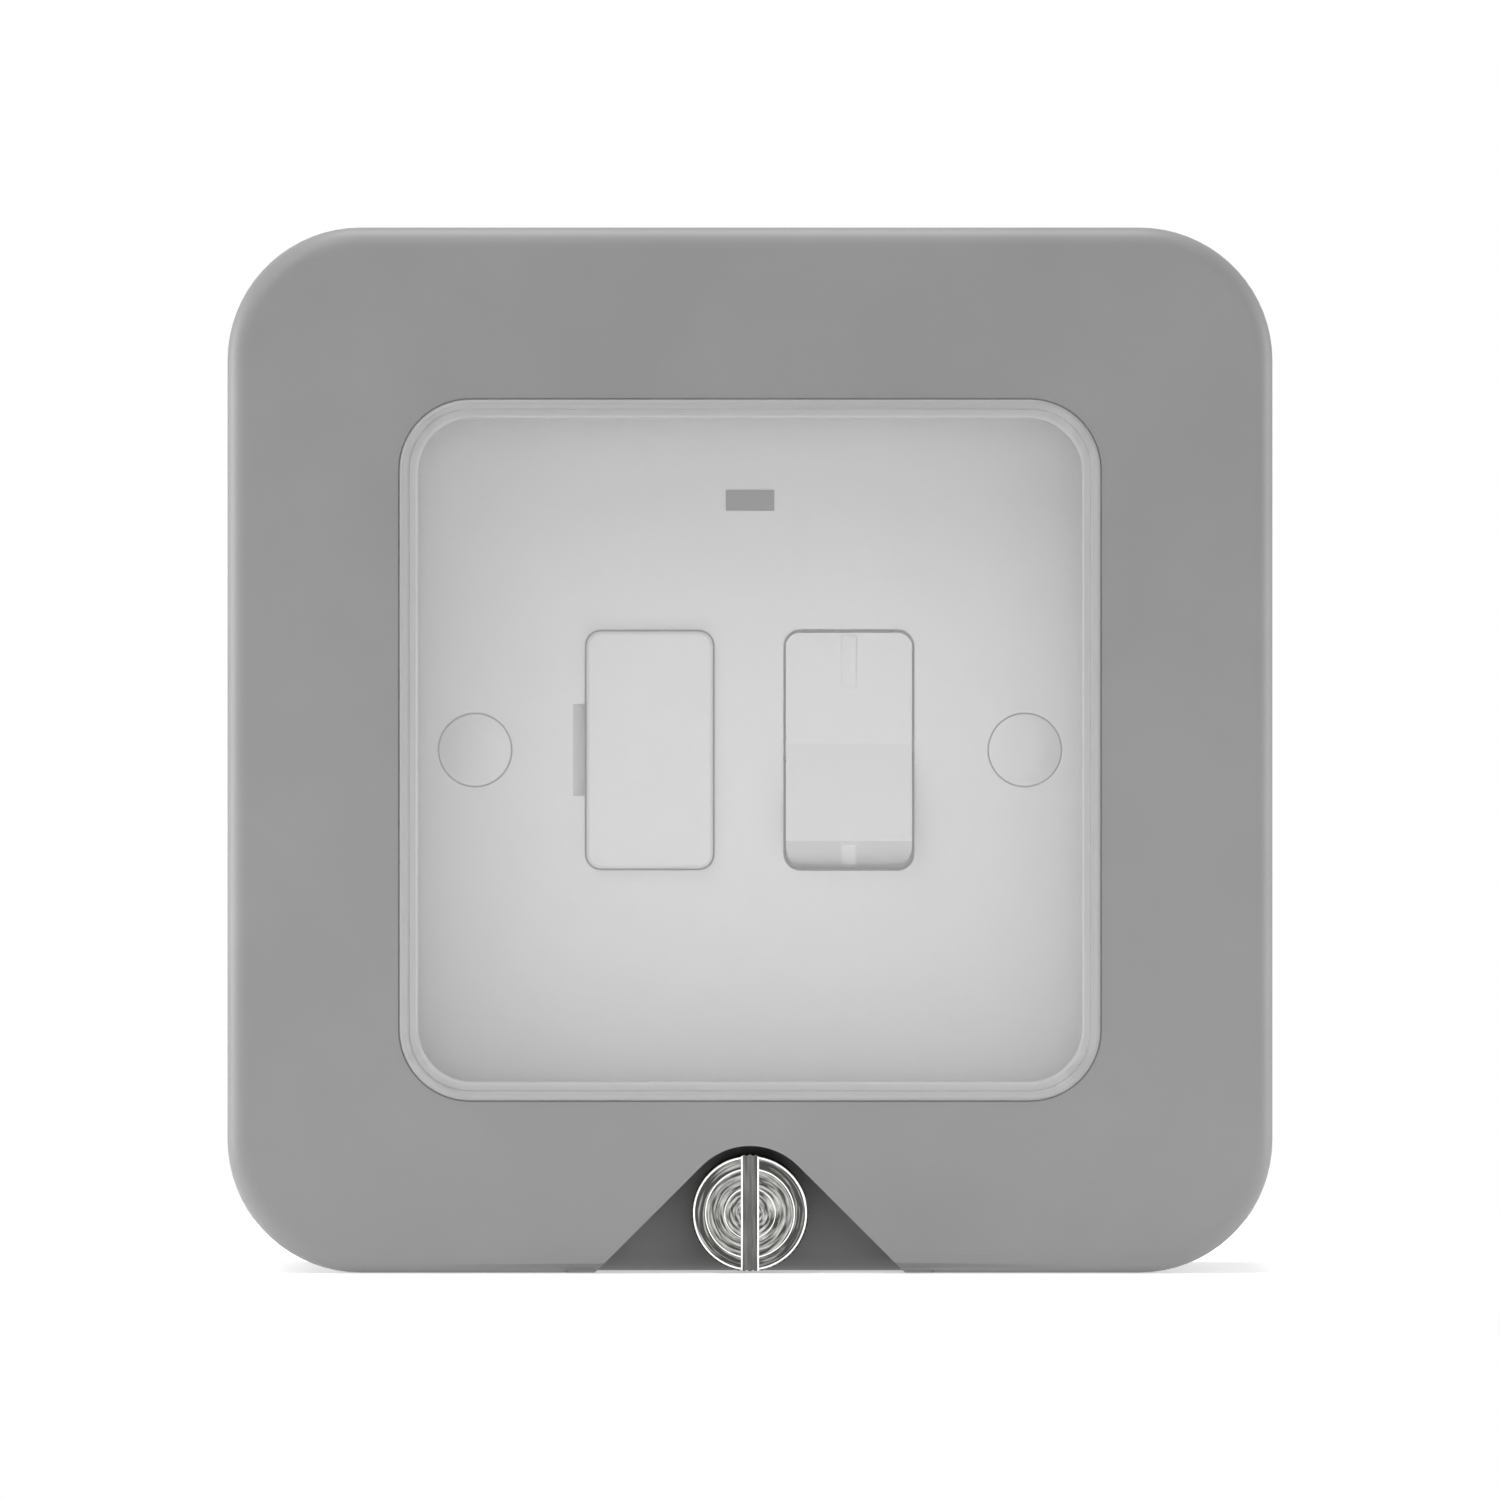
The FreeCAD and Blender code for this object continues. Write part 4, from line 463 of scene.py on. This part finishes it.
def makeUpperBar(look):
    low, high = look["top"]
    bpy.ops.object.select_all(action="DESELECT")
    bpy.ops.mesh.primitive_cube_add(
        size=1.0, location=(look["across"] * mm, -look["faceDepth"] * mm, (low + high) / 2 * mm),
        scale=(look["width"] * mm, 2 * look["raised"] * mm, (high - low) * mm))
    bar = bpy.context.object
    bar.name = "rocker_bar_upper"
    bpy.ops.object.transform_apply(location=True, rotation=True, scale=True)
    bpy.ops.object.mode_set(mode="EDIT")
    bpy.ops.mesh.select_all(action="SELECT")
    bpy.ops.mesh.bevel(offset=look["edge"] * mm, segments=3)
    bpy.ops.object.mode_set(mode="OBJECT")
    return bar


def makeLowerBar(look):
    # A strip swept about the rocker's pivot, so that it lies on the round end
    start, end = (math.asin(level / look["endRadius"]) for level in look["bottom"])
    inner, outer = look["endRadius"] - look["raised"], look["endRadius"] + look["raised"]
    middle = (inner + outer) / 2
    place = (look["across"] * mm, -(look["pivotDepth"] + middle * math.cos(start)) * mm,
             middle * math.sin(start) * mm)
    bpy.ops.object.select_all(action="DESELECT")
    bpy.ops.mesh.primitive_plane_add(size=1.0, location=place, rotation=(-start, 0.0, 0.0))
    bar = bpy.context.object
    bar.name = "rocker_bar_lower"
    bar.scale = (look["width"] * mm, (outer - inner) * mm, 1.0)
    bpy.ops.object.transform_apply(location=True, rotation=True, scale=True)
    bpy.ops.object.mode_set(mode="EDIT")
    bpy.ops.mesh.select_all(action="SELECT")
    bpy.ops.mesh.spin(steps=16, angle=end - start, center=(0.0, -look["pivotDepth"] * mm, 0.0),
                      axis=(1.0, 0.0, 0.0))
    bpy.ops.mesh.select_all(action="SELECT")
    bpy.ops.mesh.remove_doubles(threshold=joinWithin * mm)
    bpy.ops.mesh.normals_make_consistent(inside=False)
    bpy.ops.object.mode_set(mode="OBJECT")
    return bar


def makeLip(look):
    low, high = look["lip"]
    depth = look["faceDepth"] - look["lipDrop"] - look["lipThickness"] / 2
    bpy.ops.object.select_all(action="DESELECT")
    bpy.ops.mesh.primitive_cube_add(
        size=1.0, location=(look["across"] * mm, -depth * mm, (low + high) / 2 * mm),
        scale=(look["lipWidth"] * mm, look["lipThickness"] * mm, (high - low) * mm))
    lip = bpy.context.object
    lip.name = "rocker_lip"
    bpy.ops.object.transform_apply(location=True, rotation=True, scale=True)
    bpy.ops.object.mode_set(mode="EDIT")
    bpy.ops.mesh.select_mode(type="EDGE")
    bpy.ops.mesh.select_all(action="DESELECT")
    bpy.ops.object.mode_set(mode="OBJECT")
    for edge in lip.data.edges:
        start, end = (lip.data.vertices[number].co for number in edge.vertices)
        edge.select = abs(start.y - end.y) > look["lipThickness"] / 2 * mm and start.z > (low + high) / 2 * mm
    bpy.ops.object.mode_set(mode="EDIT")
    bpy.ops.mesh.bevel(offset=look["lipCorner"] * mm, segments=8, affect="EDGES")
    bpy.ops.object.mode_set(mode="OBJECT")
    return lip


# The lower bar is paler than the plate's urea: a painted highlight where its edges catch the light
barHighlight = mouldedPlastic("Urea bar with painted highlight", "#f4f4f4", "#f1f1f1", 0.25, 1.2, 0.002, coat=0.15)
for bar, finish in ((makeUpperBar(barLook), finishes["plate_urea"]), (makeLowerBar(barLook), barHighlight),
                    (makeLip(barLook), finishes["plate_urea"])):
    finishSmooth(bar, barLook["bend"])
    bar.data.materials.append(finish)
    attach(bar, "rocker")
print("Rocker's bars and lip done")

studio = {
    "lens": 600.0,          # long lens: the photo is all but free of perspective
    "sensor": 36.0,
    "frameWidth": 163.5,    # what the photo's full width covers, at the lid's face
    "lidFace": -65.0,
    "ambient": 0.4,
    "floor": -57.1,
    "floorSize": 500.0,
}
softBoxes = {    # place and size in metres and power in watts of each light; all face the object
    "key": ((-0.36, -0.6, 0.68), 0.6, 3.7),
    "front": ((0.4, -1.45, 0.05), 0.9, 3.5),
    "left": ((-0.7, 0.02, 0.05), 0.4, 3.2),
    "top": ((-0.05, 0.02, 0.75), 0.4, 3.4),
    "right": ((0.7, 0.02, 0.05), 0.4, 2.2),
}
distance = studio["frameWidth"] * studio["lens"] / studio["sensor"] * mm
lens = bpy.data.cameras.new("photoLens")
lens.lens = studio["lens"]
lens.sensor_width = studio["sensor"]
lens.clip_end = 20.0
camera = bpy.data.objects.new("photoCamera", lens)
bpy.context.scene.collection.objects.link(camera)
camera.location = (0.0, studio["lidFace"] * mm - distance, 0.0)
camera.rotation_euler = (math.radians(90), 0.0, 0.0)
bpy.context.scene.camera = camera

for name, (place, size, power) in softBoxes.items():
    data = bpy.data.lights.new("soft_" + name, "AREA")
    data.energy = power
    data.size = size
    softBox = bpy.data.objects.new("soft_" + name, data)
    softBox.location = place
    softBox.rotation_euler = (-Vector(place)).to_track_quat("-Z", "Y").to_euler()
    bpy.context.scene.collection.objects.link(softBox)


def seenWhite(material, plainShader):
    # White where the camera, a reflection or a clear piece looks at it, plain to everything else
    path = addNode(material, "ShaderNodeLightPath")
    first = addNode(material, "ShaderNodeMath", operation="MAXIMUM",
                    links={0: path.outputs["Is Camera Ray"], 1: path.outputs["Is Glossy Ray"]})
    seen = addNode(material, "ShaderNodeMath", operation="MAXIMUM",
                   links={0: first.outputs["Value"], 1: path.outputs["Is Transmission Ray"]})
    white = addNode(material, "ShaderNodeBackground", {"Color": (1, 1, 1, 1), "Strength": 1.0})
    return addNode(material, "ShaderNodeMixShader", links={
        0: seen.outputs["Value"], 1: plainShader.outputs[0], 2: white.outputs[0]})


room = bpy.data.worlds.new("whiteRoom")
room.use_nodes = True
room.node_tree.nodes.clear()
plain = addNode(room, "ShaderNodeBackground", {"Color": (1, 1, 1, 1), "Strength": studio["ambient"]})
addNode(room, "ShaderNodeOutputWorld", links={"Surface": seenWhite(room, plain).outputs[0]})
bpy.context.scene.world = room

bpy.ops.object.select_all(action="DESELECT")
bpy.ops.mesh.primitive_plane_add(size=studio["floorSize"] * mm, location=(0.0, 0.0, studio["floor"] * mm))
floor = bpy.context.object
floor.name = "paleFloor"
paper = startMaterial("White paper floor")
paperPlace = addNode(paper, "ShaderNodeTexCoord")
paperGrain = addNode(paper, "ShaderNodeTexNoise", {"Scale": 1 / (2 * mm)},
                     {"Vector": paperPlace.outputs["Object"]})
paperBump = addNode(paper, "ShaderNodeBump", {"Strength": 0.05}, {"Height": paperGrain.outputs["Fac"]})
finishMaterial(paper, addNode(paper, "ShaderNodeBsdfPrincipled", {
    "Base Color": (0.95, 0.95, 0.95, 1), "Roughness": 0.9, "Emission Color": (1, 1, 1, 1),
    "Emission Strength": 0.45}, {"Normal": paperBump.outputs["Normal"]}))
floor.data.materials.append(paper)

bpy.context.scene.view_settings.view_transform = "Standard"
print("Studio ready")
